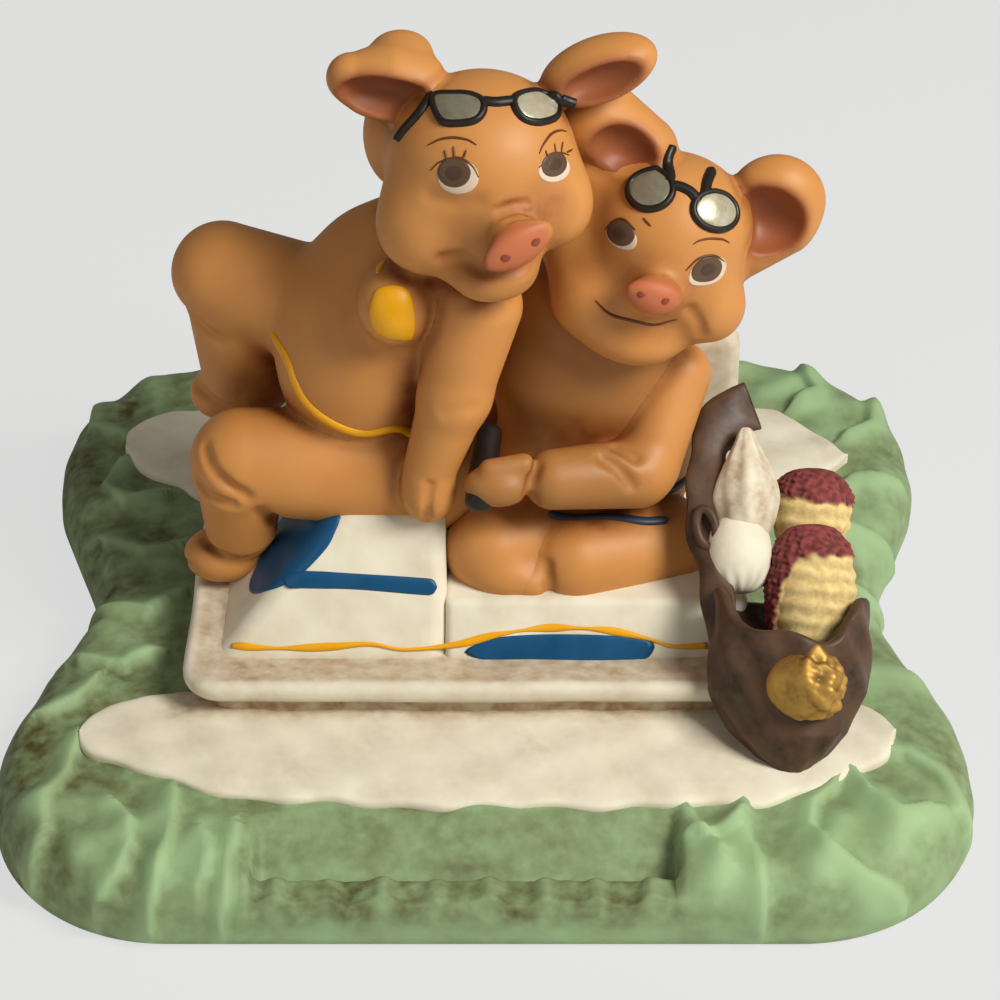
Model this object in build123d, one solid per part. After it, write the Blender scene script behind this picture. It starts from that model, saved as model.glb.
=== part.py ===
from build123d import *
import os
from math import asin, cos, pi, sin, sqrt

# A cold-cast resin figurine: two pigs in swimwear on a personal watercraft, on a base of water.
# Millimetres. +Z is up, X runs along the craft, the viewer stands at -Y, and the origin lies on
# the base's underside, below the middle line of the craft.

# Water base
base_half_width = 70.8
base_front = 64.0
base_back = 70.5
base_side_front = 28.0
base_side_back = 34.0
base_waist = 59.5
base_waist_back = 3.0
base_lobe_round = 27.0
base_side_round = 30.0
base_waist_round = 25.0
base_height = 11.0
rim_round = 7.0
bend_reach = 0.01
swell_count = 34
swell_radius = 4.0
swell_rise = 1.2
swell_inset = 4.2
swell_sink = 4.2
swell_run = 9.0
swell_slant = 4.5
swell_clearance = 9.5
plaque_width = 59.0
plaque_offset = -2.5
plaque_length = 11.2
plaque_top = 48.0
plaque_slope = 32.0
plaque_cut = 9.0

# Foam pads of the wake
foam_rise = 1.5
foam_tip = 58.5
foam_tip_front = 33.5
foam_belly_front = 46.5
foam_tip_back = 40.0
foam_belly_back = 49.5

# Watercraft hull
hull_left = -44.0
hull_right = 40.0
hull_half_width = 30.0
hull_corner = 6.0
tub_height = 4.0
lip_height = 3.5
lip_overhang = 2.0
lip_round = 0.8

# Cowl and seat, which share their slanted sides
cowl_rise = 17.5
cowl_foot_half_width = 21.5
cowl_top_half_width = 12.0
cowl_foot_left = -38.0
cowl_top_left = -21.7
cowl_right = -5.7
cowl_round = 0.8
seat_rise = 6.5
seat_right = 38.5
seat_back_left = 2.0
seat_back_height = 26.0
seat_back_thickness = 5.0
seat_back_round = 2.0

# Handlebar grip: its near end, measured from the seat top, and how it runs
grip_near_end = (-0.5, -18.0, 17.0)
grip_length = 12.6
grip_tilt = 17.5
grip_radius = 2.1
grip_round = 0.7

# Girl pig, landmarks measured from the cowl top at the middle of the craft
girl_belly = (-17.0, 3.0, 19.0)
girl_belly_height = 15.5
girl_belly_radius = 13.1
girl_belly_lean = 18.0
girl_chest = (-8.4, 1.0, 30.2)
girl_chest_radius = 10.6
girl_neck = (-4.0, -2.0, 40.0)
girl_neck_radius = 7.6
girl_hip = (-13.4, 4.0, 2.3)
girl_hip_width = 13.0
girl_hip_radius = 10.0
girl_breast = (-12.2, -10.0, 33.7)
girl_breast_radius = 5.2
girl_skull = (-0.2, -4.0, 54.8)
girl_skull_width = 13.4
girl_skull_radius = 12.6
girl_right_jowl = (-6.0, -7.0, 48.2)
girl_left_jowl = (8.0, -6.4, 49.2)
girl_jowl_radius = 8.4
girl_muzzle = (1.3, -9.0, 49.4)
girl_muzzle_radius = 9.0
girl_snout = (4.6, -23.4, 51.0)
girl_snout_radius = 4.6
girl_chin = (1.0, -10.0, 44.6)
girl_chin_width = 8.0
girl_chin_radius = 6.2
girl_right_ear = (-13.5, -1.0, 64.6)
girl_right_ear_reach = 8.8
girl_right_ear_radius = 5.6
girl_right_ear_lean = 8.0
girl_left_ear = (15.0, 0.0, 65.6)
girl_left_ear_reach = 9.0
girl_left_ear_radius = 4.9
girl_left_ear_lean = 22.0
girl_ear_cup = (0.0, -4.4, -2.4)
girl_ear_wall = 1.4
girl_left_hip = (-8.8, -5.0, 1.0)
girl_left_knee = (-37.0, -6.0, 4.3)
girl_left_ankle = (-37.0, -3.0, -8.0)
girl_left_foot = (-40.0, -3.0)
girl_right_hip = (-21.4, 9.0, 18.6)
girl_right_knee = (-38.6, 12.0, 26.8)
girl_right_ankle = (-39.7, 14.0, 10.1)
girl_right_foot = (-41.6, 13.6, 3.8)
girl_thigh_radius = 9.5
girl_knee_radius = 7.6
girl_calf_radius = 6.0
girl_ankle_radius = 4.4
girl_foot_length = 5.6
girl_foot_radius = 4.0
girl_left_shoulder = (-1.1, -7.6, 33.6)
girl_left_elbow = (-4.1, -10.6, 20.5)
girl_left_wrist = (-7.6, -11.0, 8.6)
girl_right_shoulder = (-8.0, 9.0, 33.0)
girl_right_elbow = (-9.0, 14.0, 19.0)
girl_right_wrist = (-10.0, 11.0, 8.6)
girl_shoulder_radius = 6.6
girl_elbow_radius = 5.1
girl_forearm_radius = 5.0
girl_wrist_radius = 3.8
girl_hand_height = 4.6
girl_hand_radius = 4.0
waist_string_drop = 8.0
waist_string_lean = 30.0
waist_string_width = 1.4
waist_string_rise = 0.7
girl_lens_spots = ((-3.3, -9.6), (7.0, -7.2))
girl_temple_ends = ((-11.6, -6.4), (11.4, -4.0))
girl_lens_width = 3.5
girl_lens_height = 2.6

# Boy pig, landmarks measured from the seat top at the middle of the craft
boy_belly = (15.7, 6.4, 10.4)
boy_belly_radius = 14.6
boy_chest = (18.0, 6.0, 21.6)
boy_chest_width = 14.5
boy_chest_radius = 10.8
boy_neck = (23.0, 3.0, 43.0)
boy_neck_radius = 8.0
boy_skull = (26.0, 1.0, 52.7)
boy_skull_width = 12.2
boy_skull_radius = 11.4
boy_right_jowl = (18.8, -2.2, 43.4)
boy_left_jowl = (30.0, -3.2, 44.2)
boy_jowl_radius = 7.4
boy_muzzle = (24.7, -5.0, 48.4)
boy_muzzle_radius = 8.4
boy_snout = (23.6, -16.6, 51.4)
boy_snout_radius = 3.9
boy_chin = (23.0, -3.4, 39.6)
boy_chin_width = 8.6
boy_chin_radius = 6.2
boy_left_ear = (42.0, 3.0, 54.4)
boy_left_ear_radius = 7.4
boy_left_ear_cup = (-1.4, -4.2, 1.4)
boy_right_ear = (20.7, 4.0, 64.0)
boy_right_ear_radius = 6.3
boy_right_ear_cup = (0.0, -4.0, 1.2)
boy_ear_wall = 1.5
boy_left_hip = (26.0, -8.0, 2.0)
boy_left_knee = (13.5, -11.0, 2.5)
boy_right_hip = (10.0, -5.0, 3.0)
boy_right_knee = (2.0, -10.0, 3.5)
boy_thigh_radius = 7.6
boy_knee_radius = 7.0
boy_left_shoulder = (29.3, 3.0, 26.2)
boy_left_elbow = (26.1, -5.0, 14.4)
boy_left_wrist = (8.8, -13.0, 17.7)
boy_left_hand = (2.3, -14.0, 17.6)
boy_right_shoulder = (8.4, 6.0, 27.0)
boy_right_elbow = (4.0, 14.0, 19.0)
boy_right_wrist = (3.0, 12.0, 8.0)
boy_shoulder_radius = 6.4
boy_elbow_radius = 6.0
boy_forearm_radius = 6.2
boy_wrist_radius = 5.0
boy_hand_length = 5.4
boy_hand_radius = 3.9
waistband_drop = 1.6
waistband_lean = 4.0
waistband_width = 1.4
waistband_rise = 0.7
boy_lens_spots = ((22.9, -4.7), (32.3, -5.9))
boy_temple_ends = ((25.6, 1.5), (31.6, 0.5))
boy_lens_width = 3.5
boy_lens_height = 3.2

# Both pigs: what the neck loses in radius towards its thin end
neck_taper = 0.45

# Sunglasses, of one make on both pigs
frame_width = 0.9
frame_rise = 0.9
lens_rise = 0.5
glasses_sink = 3.0
bar_radius = 0.8
bar_tip_radius = 0.7

# Beach bag and towels, landmarks measured from the foam top
bag_pouch = (45.0, -28.0, 9.0)
bag_pouch_height = 15.0
bag_pouch_radius = 12.0
bag_lean = 35.0
bag_wall = 1.4
bag_mouth = 5.5
bag_floor = 1.5
bag_flap_low = (33.0, -22.0, 14.0)
bag_flap_high = (36.0, 2.0, 33.5)
bag_flap_width = 9.0
bag_flap_thickness = 3.0
bag_flap_round = 1.0
bag_clasp_offset = 1.4
bag_clasp_drop = 2.5
bag_clasp_sink = 1.6
bag_clasp_radius = 4.5
striped_towel = (47.6, -20.0, 15.5)
striped_towel_length = 10.0
striped_towel_radius = 5.8
rolled_towel = (48.0, -9.0, 22.0)
rolled_towel_length = 6.4
rolled_towel_radius = 5.8
white_towel = (38.0, -12.0, 24.0)
white_towel_length = 12.0
white_towel_radius = 5.0
towel_lean = 42.0

# How the round forms are made: where their seams lie, and the least volume of a cord's stretch
seam_side = (0.3, 1.0, 0.2)
ball_turn = 75.0
smallest_stretch = 1.0

# Heights that the pieces stand at
foam_top = base_height + foam_rise
lip_bottom = base_height + tub_height
deck_top = lip_bottom + lip_height
cowl_top = deck_top + cowl_rise
seat_top = deck_top + seat_rise
side_slope = (cowl_foot_half_width - cowl_top_half_width) / cowl_rise
seat_top_half_width = cowl_foot_half_width - side_slope * seat_rise

placed = {}


def seated(solid, seats):
    """A piece cut back to the pieces that it sits against."""
    for name in seats:
        solid = solid - placed[name]
    return solid.solids().sort_by(SortBy.VOLUME)[-1]


def place(name, *solids, on=()):
    """Seats the separate solids of one node on other pieces and keeps them under its name."""
    kept = [seated(solid, on) for solid in solids]
    placed[name] = kept[0] if len(kept) == 1 else Compound(children=kept)
    placed[name].label = name


def place_strip(name, strip, seats):
    """Cuts a cord where other pieces cover it and keeps every stretch that is left."""
    for seat in seats:
        strip = strip - placed[seat]
    stretches = [solid for solid in strip.solids() if solid.volume > smallest_stretch]
    place(name, *stretches)


def fused(*solids):
    """Several overlapping forms as one solid."""
    return solids[0].fuse(*solids[1:])


def from_foam(point):
    """A bag landmark in the part's frame."""
    return Vector(*point) + Vector(0, 0, foam_top)


def from_cowl(point):
    """A girl landmark in the part's frame."""
    return Vector(*point) + Vector(0, 0, cowl_top)


def from_seat(point):
    """A boy landmark in the part's frame."""
    return Vector(*point) + Vector(0, 0, seat_top)


def leaning(lean):
    """The up direction tipped along the craft, away from the bow, by an angle."""
    return Vector(0, 0, 1).rotate(Axis.Y, lean)


def tipped_back(lean):
    """The up direction tipped away from the viewer by an angle."""
    return Vector(0, 0, 1).rotate(Axis.X, -lean)


def turned(edges, origin, axis):
    """A profile of radius and height turned about an axis, with its seam kept at the back."""
    axis = Vector(*axis).normalized()
    seam = Vector(*seam_side) - axis * axis.dot(Vector(*seam_side))
    return Plane(origin=origin, x_dir=seam, z_dir=axis) * revolve(Plane.XZ * make_face(edges), Axis.Z)


def ball(centre, radius):
    """A sphere at a point, with its seam at the back."""
    return Pos(*centre) * Rot(0, 0, ball_turn) * Sphere(radius)


def limb(start, end, start_radius, end_radius):
    """Round-ended taper: two balls and the cone that touches them both, turned about its axis."""
    axis = end - start
    slant = asin((start_radius - end_radius) / axis.length)

    def on_ball(height, radius, angle):
        return (radius * cos(angle), height + radius * sin(angle))

    start_pole = (0, -start_radius)
    end_pole = (0, axis.length + end_radius)
    start_touch = on_ball(0, start_radius, slant)
    end_touch = on_ball(axis.length, end_radius, slant)
    start_arc = ThreePointArc(start_pole, on_ball(0, start_radius, (slant - pi / 2) / 2), start_touch)
    end_arc = ThreePointArc(end_touch, on_ball(axis.length, end_radius, (slant + pi / 2) / 2), end_pole)
    edges = [start_arc, Line(start_touch, end_touch), end_arc, Line(end_pole, start_pole)]
    return turned(edges, start, axis)


def egg(centre, length, radius, axis=(0, 0, 1)):
    """A round-ended roll: half its length along its axis, and its radius across."""
    reach = Vector(*axis).normalized() * (length - radius)
    return limb(centre - reach, centre + reach, radius, radius)


def muzzle(start, end, start_radius, end_radius):
    """A tapering muzzle that ends in a flat round snout disc."""
    axis = end - start
    pole = (0, -start_radius)
    shoulder = (start_radius, 0)
    halfway = (start_radius * cos(pi / 4), -start_radius * sin(pi / 4))
    edges = [
        ThreePointArc(pole, halfway, shoulder),
        Polyline(shoulder, (end_radius, axis.length), (0, axis.length), pole),
    ]
    return turned(edges, start, axis)


def cupped_ear(centre, length, radius, axis, cup, wall):
    """A roll with a smaller roll taken out of its front, which leaves a thin-edged cup."""
    hollow = egg(centre + Vector(*cup), length - wall, radius - wall, axis)
    return egg(centre, length, radius, axis) - hollow


def belt(larger, centre, drop, lean, width, back):
    """A flat cord round a form: a slice of a slightly larger form, up to a plane behind it."""
    span = 2 * larger.bounding_box().diagonal
    slab = Box(span, span, width, align=(Align.CENTER, Align.MAX, Align.CENTER))
    return larger & (Pos(centre.X, back, centre.Z) * Rot(0, lean, 0) * Pos(0, 0, -drop) * slab)


def on_skull(spot, skull, width, radius):
    """The point of a skull above a plan position, and the outward direction there."""
    straight = width - radius
    middle = skull.X + min(max(spot[0] - skull.X, -straight), straight)
    rise = sqrt(radius**2 - (spot[0] - middle) ** 2 - (spot[1] - skull.Y) ** 2)
    point = Vector(spot[0], spot[1], skull.Z + rise)
    return point, (point - Vector(middle, skull.Y, skull.Z)).normalized()


def sunglasses(head, spots, temple_ends, lens_width, lens_height, skull, width, radius):
    """Two framed lenses pushed up on a head's brow, with a bridge and two temple bars."""
    seats = [on_skull(spot, skull, width, radius) for spot in spots]
    reach = (seats[1][0] - seats[0][0]).normalized()
    rims = []
    bars = []
    inner = []
    lenses = []
    for (point, outward), temple, side in zip(seats, temple_ends, (-1, 1)):
        flat = (reach - outward * reach.dot(outward)).normalized()
        plane = Plane(origin=point - outward * glasses_sink, x_dir=flat, z_dir=outward)
        glass = Ellipse(lens_width, lens_height)
        ring = Ellipse(lens_width + frame_width, lens_height + frame_width) - glass
        rims.append(plane * extrude(ring, glasses_sink + frame_rise))
        lenses.append(plane * extrude(glass, glasses_sink + lens_rise))
        edge = flat * (lens_width + frame_width / 2)
        tip = on_skull(temple, skull, width, radius)[0]
        bars.append(limb(point + edge * side, tip, bar_radius, bar_tip_radius))
        inner.append(point - edge * side)
    bars.append(limb(*inner, bar_radius, bar_tip_radius))
    return fused(*[seated(piece, [head]) for piece in rims + bars]), lenses


def block(left, right, half_width, height):
    """A rectangle across the craft at a height."""
    return Pos((left + right) / 2, 0, height) * Rectangle(right - left, 2 * half_width)


foam_tips = [Vector(x, y, 0) for x in (-foam_tip, foam_tip) for y in (-foam_tip_front, foam_tip_back)]


def swell(rim, share):
    """A ridge of water that runs out over the rim, aslant: its inner end and its outer end."""
    edge = rim.position_at(share)
    ahead = rim.tangent_at(share)
    inward = Vector(0, 0, 1).cross(ahead)
    if inward.dot(edge) > 0:
        inward = inward * -1
    root_height = base_height + swell_rise - swell_radius
    root = edge + inward * (swell_inset + swell_run) + ahead * swell_slant + Vector(0, 0, root_height)
    tip = edge + inward * swell_inset + Vector(0, 0, base_height - swell_sink)
    return root, tip


def swell_is_clear(root, tip):
    """Whether a ridge keeps away from the plaque and from the foam's tips."""
    beside = min(abs(end.X - plaque_offset) for end in (root, tip)) > plaque_width / 2 + swell_radius
    gaps = [(Vector(root.X, root.Y, 0) - foam_end).length for foam_end in foam_tips]
    return (beside or root.Y > -plaque_top) and min(gaps) > swell_clearance


# Base: a four-lobed outline with a round rim, ridges of water that run over it and a sunk plaque
outline = Polygon(
    (-base_half_width, -base_front),
    (base_half_width, -base_front),
    (base_half_width, -base_side_front),
    (base_waist, base_waist_back),
    (base_half_width, base_side_back),
    (base_half_width, base_back),
    (-base_half_width, base_back),
    (-base_half_width, base_side_back),
    (-base_waist, base_waist_back),
    (-base_half_width, -base_side_front),
    align=None,
)
for bend, bend_round in (
    (-base_front, base_lobe_round),
    (-base_side_front, base_side_round),
    (base_waist_back, base_waist_round),
    (base_side_back, base_side_round),
    (base_back, base_lobe_round),
):
    corners = [corner for corner in outline.vertices() if abs(corner.Y - bend) < bend_reach]
    outline = fillet(corners, bend_round)
water = extrude(outline, base_height)
water = fillet(water.faces().sort_by(Axis.Z)[-1].outer_wire().edges(), rim_round)
rim = outline.faces()[0].outer_wire()
swells = [swell(rim, i / swell_count) for i in range(swell_count)]
ridges = [limb(*ends, swell_radius, swell_radius) for ends in swells if swell_is_clear(*ends)]
water = fused(water, *ridges)
plaque = Pos(plaque_offset, -plaque_top, base_height) * Rot(plaque_slope, 0, 0)
plaque_block = Box(plaque_width, plaque_length, plaque_cut, align=(Align.CENTER, Align.MAX, Align.MIN))
water = water - plaque * plaque_block
place("water_base", water)

# Hull: a tub under an overhanging deck lip
hull_length = hull_right - hull_left
hull_middle = (hull_right + hull_left) / 2
deck = RectangleRounded(hull_length, 2 * hull_half_width, hull_corner)
foam_inner = hull_half_width - lip_overhang
tub = RectangleRounded(hull_length - 2 * lip_overhang, 2 * foam_inner, hull_corner - lip_overhang)
lip = Pos(hull_middle, 0, lip_bottom) * extrude(deck, lip_height)
lip = fillet(lip.edges().group_by(Axis.Z)[-1], lip_round)
place("hull", lip + Pos(hull_middle, 0, base_height) * extrude(tub, tub_height))

# Foam: a leaf of white wake along each side of the hull
for name, side, tip, belly in (
    ("front_foam", -1, foam_tip_front, foam_belly_front),
    ("rear_foam", 1, foam_tip_back, foam_belly_back),
):
    left_tip = (-foam_tip, side * tip)
    right_tip = (foam_tip, side * tip)
    leaf = [
        ThreePointArc(left_tip, (0, side * belly), right_tip),
        Polyline(right_tip, (hull_right, side * foam_inner), (hull_left, side * foam_inner), left_tip),
    ]
    leaf = Pos(0, 0, base_height) * extrude(make_face(leaf), foam_rise, dir=(0, 0, 1))
    place(name, leaf, on=["water_base"])

# Cowl and seat
cowl = loft(
    [
        block(cowl_foot_left, cowl_right, cowl_foot_half_width, deck_top),
        block(cowl_top_left, cowl_right, cowl_top_half_width, cowl_top),
    ],
    ruled=True,
)
place("cowl", fillet(cowl.edges().group_by(Axis.Z)[-1], cowl_round))
seat = loft(
    [
        block(cowl_right, seat_right, cowl_foot_half_width, deck_top),
        block(cowl_right, seat_right, seat_top_half_width, seat_top),
    ],
    ruled=True,
)
place("seat", seat)
back_width = seat_right - seat_back_left
back = Box(back_width, seat_back_thickness, seat_back_height, align=(Align.MIN, Align.MAX, Align.MIN))
back = fillet(back.edges().filter_by(Axis.Y).group_by(Axis.Z)[-1], seat_back_round)
place("seat_back", Pos(seat_back_left, seat_top_half_width, seat_top) * back)

# Handlebar grip
grip = Cylinder(grip_radius, grip_length, align=(Align.CENTER, Align.CENTER, Align.MIN))
grip = fillet(grip.edges().filter_by(GeomType.CIRCLE), grip_round)
grip_run = Vector(0, 1, 0).rotate(Axis.X, grip_tilt)
place("handlebar_grip", Plane(origin=from_seat(grip_near_end), z_dir=grip_run) * grip)

# Girl pig
spine = leaning(girl_belly_lean)
girl_body = fused(
    egg(from_cowl(girl_belly), girl_belly_height, girl_belly_radius, spine),
    ball(from_cowl(girl_chest), girl_chest_radius),
    egg(from_cowl(girl_hip), girl_hip_width, girl_hip_radius, (1, 0, 0)),
    limb(from_cowl(girl_chest), from_cowl(girl_neck), girl_neck_radius, girl_neck_radius - neck_taper),
)
place("girl_torso", girl_body, on=["cowl"])
skull = from_cowl(girl_skull)
head = fused(
    egg(skull, girl_skull_width, girl_skull_radius, (1, 0, 0)),
    ball(from_cowl(girl_right_jowl), girl_jowl_radius),
    ball(from_cowl(girl_left_jowl), girl_jowl_radius),
    muzzle(from_cowl(girl_muzzle), from_cowl(girl_snout), girl_muzzle_radius, girl_snout_radius),
    egg(from_cowl(girl_chin), girl_chin_width, girl_chin_radius, (1, 0, 0)),
)
place("girl_head", head, on=["girl_torso"])
for name, centre, reach, radius, lean in (
    ("girl_right_ear", girl_right_ear, girl_right_ear_reach, girl_right_ear_radius, girl_right_ear_lean),
    ("girl_left_ear", girl_left_ear, girl_left_ear_reach, girl_left_ear_radius, girl_left_ear_lean),
):
    axis = Vector(1, 0, 0).rotate(Axis.Y, -lean)
    ear = cupped_ear(from_cowl(centre), reach, radius, axis, girl_ear_cup, girl_ear_wall)
    place(name, ear, on=["girl_head"])


def girl_leg(hip, knee, ankle, foot):
    """Thigh, calf and foot of one leg."""
    return fused(
        limb(from_cowl(hip), from_cowl(knee), girl_thigh_radius, girl_knee_radius),
        limb(from_cowl(knee), from_cowl(ankle), girl_calf_radius, girl_ankle_radius),
        egg(foot, girl_foot_length, girl_foot_radius, (1, 0, 0)),
    )


left_foot = Vector(*girl_left_foot, deck_top + girl_foot_radius)
girl_near_leg = girl_leg(girl_left_hip, girl_left_knee, girl_left_ankle, left_foot)
place("girl_left_leg", girl_near_leg, on=["hull", "cowl", "girl_torso"])
right_foot = from_cowl(girl_right_foot)
girl_far_leg = girl_leg(girl_right_hip, girl_right_knee, girl_right_ankle, right_foot)
place("girl_right_leg", girl_far_leg, on=["girl_torso", "girl_left_leg"])
place("girl_bikini_cup", ball(from_cowl(girl_breast), girl_breast_radius), on=["girl_torso"])


def girl_arm(shoulder, elbow, wrist):
    """A straight arm down to a hand that rests on the cowl top."""
    hand = Vector(wrist[0], wrist[1], cowl_top + girl_hand_height)
    return fused(
        limb(from_cowl(shoulder), from_cowl(elbow), girl_shoulder_radius, girl_elbow_radius),
        limb(from_cowl(elbow), from_cowl(wrist), girl_forearm_radius, girl_wrist_radius),
        egg(hand, girl_hand_height, girl_hand_radius),
    )


girl_near_arm = girl_arm(girl_left_shoulder, girl_left_elbow, girl_left_wrist)
place("girl_left_arm", girl_near_arm, on=["girl_torso", "girl_head", "girl_bikini_cup", "girl_left_leg"])
girl_far_arm = girl_arm(girl_right_shoulder, girl_right_elbow, girl_right_wrist)
place("girl_right_arm", girl_far_arm, on=["girl_torso", "girl_right_leg"])
girl_back = girl_belly[1] + 2 * girl_belly_radius
string_sizes = (waist_string_drop, waist_string_lean, waist_string_width, girl_back)
cord_height = girl_belly_height + waist_string_rise
cord = egg(from_cowl(girl_belly), cord_height, girl_belly_radius + waist_string_rise, spine)
string = belt(cord, from_cowl(girl_belly), *string_sizes)
girl_limbs = ["girl_left_leg", "girl_right_leg", "girl_left_arm", "girl_right_arm"]
place_strip("girl_waist_string", string, ["girl_torso", *girl_limbs])
lens_sizes = (girl_lens_width, girl_lens_height)
skull_sizes = (skull, girl_skull_width, girl_skull_radius)
frame, lenses = sunglasses("girl_head", girl_lens_spots, girl_temple_ends, *lens_sizes, *skull_sizes)
place("girl_glasses_frame", frame)
place("girl_glasses_lenses", *lenses, on=["girl_head"])

# Boy pig
boy_body = fused(
    ball(from_seat(boy_belly), boy_belly_radius),
    egg(from_seat(boy_chest), boy_chest_width, boy_chest_radius, (1, 0, 0)),
    limb(from_seat(boy_chest), from_seat(boy_neck), boy_neck_radius + neck_taper, boy_neck_radius),
)
place("boy_torso", boy_body, on=["seat", "seat_back"])
skull = from_seat(boy_skull)
head = fused(
    egg(skull, boy_skull_width, boy_skull_radius, (1, 0, 0)),
    ball(from_seat(boy_right_jowl), boy_jowl_radius),
    ball(from_seat(boy_left_jowl), boy_jowl_radius),
    muzzle(from_seat(boy_muzzle), from_seat(boy_snout), boy_muzzle_radius, boy_snout_radius),
    egg(from_seat(boy_chin), boy_chin_width, boy_chin_radius, (1, 0, 0)),
)
place("boy_head", head, on=["boy_torso"])
for name, centre, radius, cup in (
    ("boy_left_ear", boy_left_ear, boy_left_ear_radius, boy_left_ear_cup),
    ("boy_right_ear", boy_right_ear, boy_right_ear_radius, boy_right_ear_cup),
):
    bowl = ball(from_seat(centre), radius) - ball(from_seat(centre) + Vector(*cup), radius - boy_ear_wall)
    place(name, bowl, on=["boy_head"])
for name, hip, knee, neighbours in (
    ("boy_left_leg", boy_left_hip, boy_left_knee, ["seat", "boy_torso"]),
    ("boy_right_leg", boy_right_hip, boy_right_knee, ["seat", "boy_torso", "boy_left_leg", "girl_left_leg"]),
):
    place(name, limb(from_seat(hip), from_seat(knee), boy_thigh_radius, boy_knee_radius), on=neighbours)


def boy_arm(shoulder, elbow, wrist):
    """Upper arm and forearm of one arm."""
    return fused(
        limb(from_seat(shoulder), from_seat(elbow), boy_shoulder_radius, boy_elbow_radius),
        limb(from_seat(elbow), from_seat(wrist), boy_forearm_radius, boy_wrist_radius),
    )


boy_hand = egg(from_seat(boy_left_hand), boy_hand_length, boy_hand_radius, (1, 0, 0))
boy_near_arm = boy_arm(boy_left_shoulder, boy_left_elbow, boy_left_wrist) + boy_hand
place("boy_left_arm", boy_near_arm, on=["handlebar_grip", "boy_torso", "boy_left_leg", "boy_right_leg"])
boy_far_arm = boy_arm(boy_right_shoulder, boy_right_elbow, boy_right_wrist)
place("boy_right_arm", boy_far_arm, on=["seat", "seat_back", "boy_torso"])
seat_back_face = seat_top_half_width - seat_back_thickness
band_sizes = (waistband_drop, waistband_lean, waistband_width, seat_back_face)
trunks = ball(from_seat(boy_belly), boy_belly_radius + waistband_rise)
band = belt(trunks, from_seat(boy_belly), *band_sizes)
boy_limbs = ["boy_left_leg", "boy_right_leg", "boy_left_arm", "boy_right_arm"]
place_strip("boy_waistband", band, ["boy_torso", *boy_limbs])
lens_sizes = (boy_lens_width, boy_lens_height)
skull_sizes = (skull, boy_skull_width, boy_skull_radius)
frame, lenses = sunglasses("boy_head", boy_lens_spots, boy_temple_ends, *lens_sizes, *skull_sizes)
place("boy_glasses_frame", frame)
place("boy_glasses_lenses", *lenses, on=["boy_head"])

# Beach bag: an open pouch with a tall back flap, its clasp and its towels
bag_axis = tipped_back(bag_lean)
pouch = from_foam(bag_pouch)
mouth_span = 4 * bag_pouch_height
above_mouth = Box(mouth_span, mouth_span, mouth_span, align=(Align.CENTER, Align.CENTER, Align.MIN))
mouth = Plane(origin=pouch + bag_axis * bag_mouth, z_dir=bag_axis) * above_mouth
hollow = egg(pouch, bag_pouch_height - bag_wall, bag_pouch_radius - bag_wall, bag_axis)
recess = hollow & (Plane(origin=pouch + bag_axis * bag_floor, z_dir=bag_axis) * above_mouth)
bag = egg(pouch, bag_pouch_height, bag_pouch_radius, bag_axis) - mouth - recess
place("beach_bag", bag, on=["water_base", "front_foam", "hull", "seat"])
bag_front = Vector(0, -1, 0).rotate(Axis.X, -bag_lean)
clasp_reach = bag_front * (bag_pouch_radius - bag_clasp_sink)
clasp_centre = pouch + clasp_reach - bag_axis * bag_clasp_drop + Vector(bag_clasp_offset, 0, 0)
place("bag_clasp", ball(clasp_centre, bag_clasp_radius), on=["beach_bag"])
towel_axis = tipped_back(towel_lean)
towels = []
for name, centre, length, radius in (
    ("striped_towel", striped_towel, striped_towel_length, striped_towel_radius),
    ("rolled_towel", rolled_towel, rolled_towel_length, rolled_towel_radius),
    ("white_towel", white_towel, white_towel_length, white_towel_radius),
):
    place(name, egg(from_foam(centre), length, radius, towel_axis), on=["beach_bag", *towels])
    towels.append(name)
flap_foot = from_foam(bag_flap_low)
flap_run = from_foam(bag_flap_high) - flap_foot
flap_align = (Align.CENTER, Align.CENTER, Align.MIN)
flap = Box(bag_flap_width, bag_flap_thickness, flap_run.length, align=flap_align)
flap = fillet(flap.edges().filter_by(Axis.Z), bag_flap_round)
flap = Plane(origin=flap_foot, x_dir=(1, 0, 0), z_dir=flap_run) * flap
flap_seats = ["hull", "seat", "boy_torso", "boy_left_arm", "boy_left_leg", "beach_bag", *towels]
place("bag_flap", flap, on=flap_seats)

os.makedirs("parts", exist_ok=True)
for name, solid in placed.items():
    export_step(solid, f"parts/{name}.step")
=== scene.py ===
"""Painted looks of a cast resin figurine: two pigs on a watercraft, on a base of sculpted water.

Lengths inside the shape functions are millimetres; a mesh is laid down in metres.
"""

import bpy
import numpy as np
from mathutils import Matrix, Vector


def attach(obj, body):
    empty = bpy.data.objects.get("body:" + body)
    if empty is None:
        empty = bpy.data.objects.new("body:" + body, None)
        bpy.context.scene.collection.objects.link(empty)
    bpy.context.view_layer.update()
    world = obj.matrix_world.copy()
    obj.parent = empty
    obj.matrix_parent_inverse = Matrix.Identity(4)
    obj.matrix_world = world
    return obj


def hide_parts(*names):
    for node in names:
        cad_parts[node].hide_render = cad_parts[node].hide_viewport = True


bl_info = {
    "name": "Pig Pair Figurine",
    "version": (1, 0, 0),
    "blender": (4, 5, 0),
    "location": "View3D > Sidebar > Figurine",
    "description": "Sculpts and paints a resin figurine of two pigs on a watercraft",
    "category": "Object",
}

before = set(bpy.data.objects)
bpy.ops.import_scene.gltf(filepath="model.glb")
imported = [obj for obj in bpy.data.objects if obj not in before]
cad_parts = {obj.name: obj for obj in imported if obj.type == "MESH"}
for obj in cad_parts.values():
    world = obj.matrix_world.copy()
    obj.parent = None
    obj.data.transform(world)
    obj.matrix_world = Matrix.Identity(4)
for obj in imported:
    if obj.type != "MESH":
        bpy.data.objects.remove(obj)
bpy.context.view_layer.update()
MM = 0.001


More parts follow.
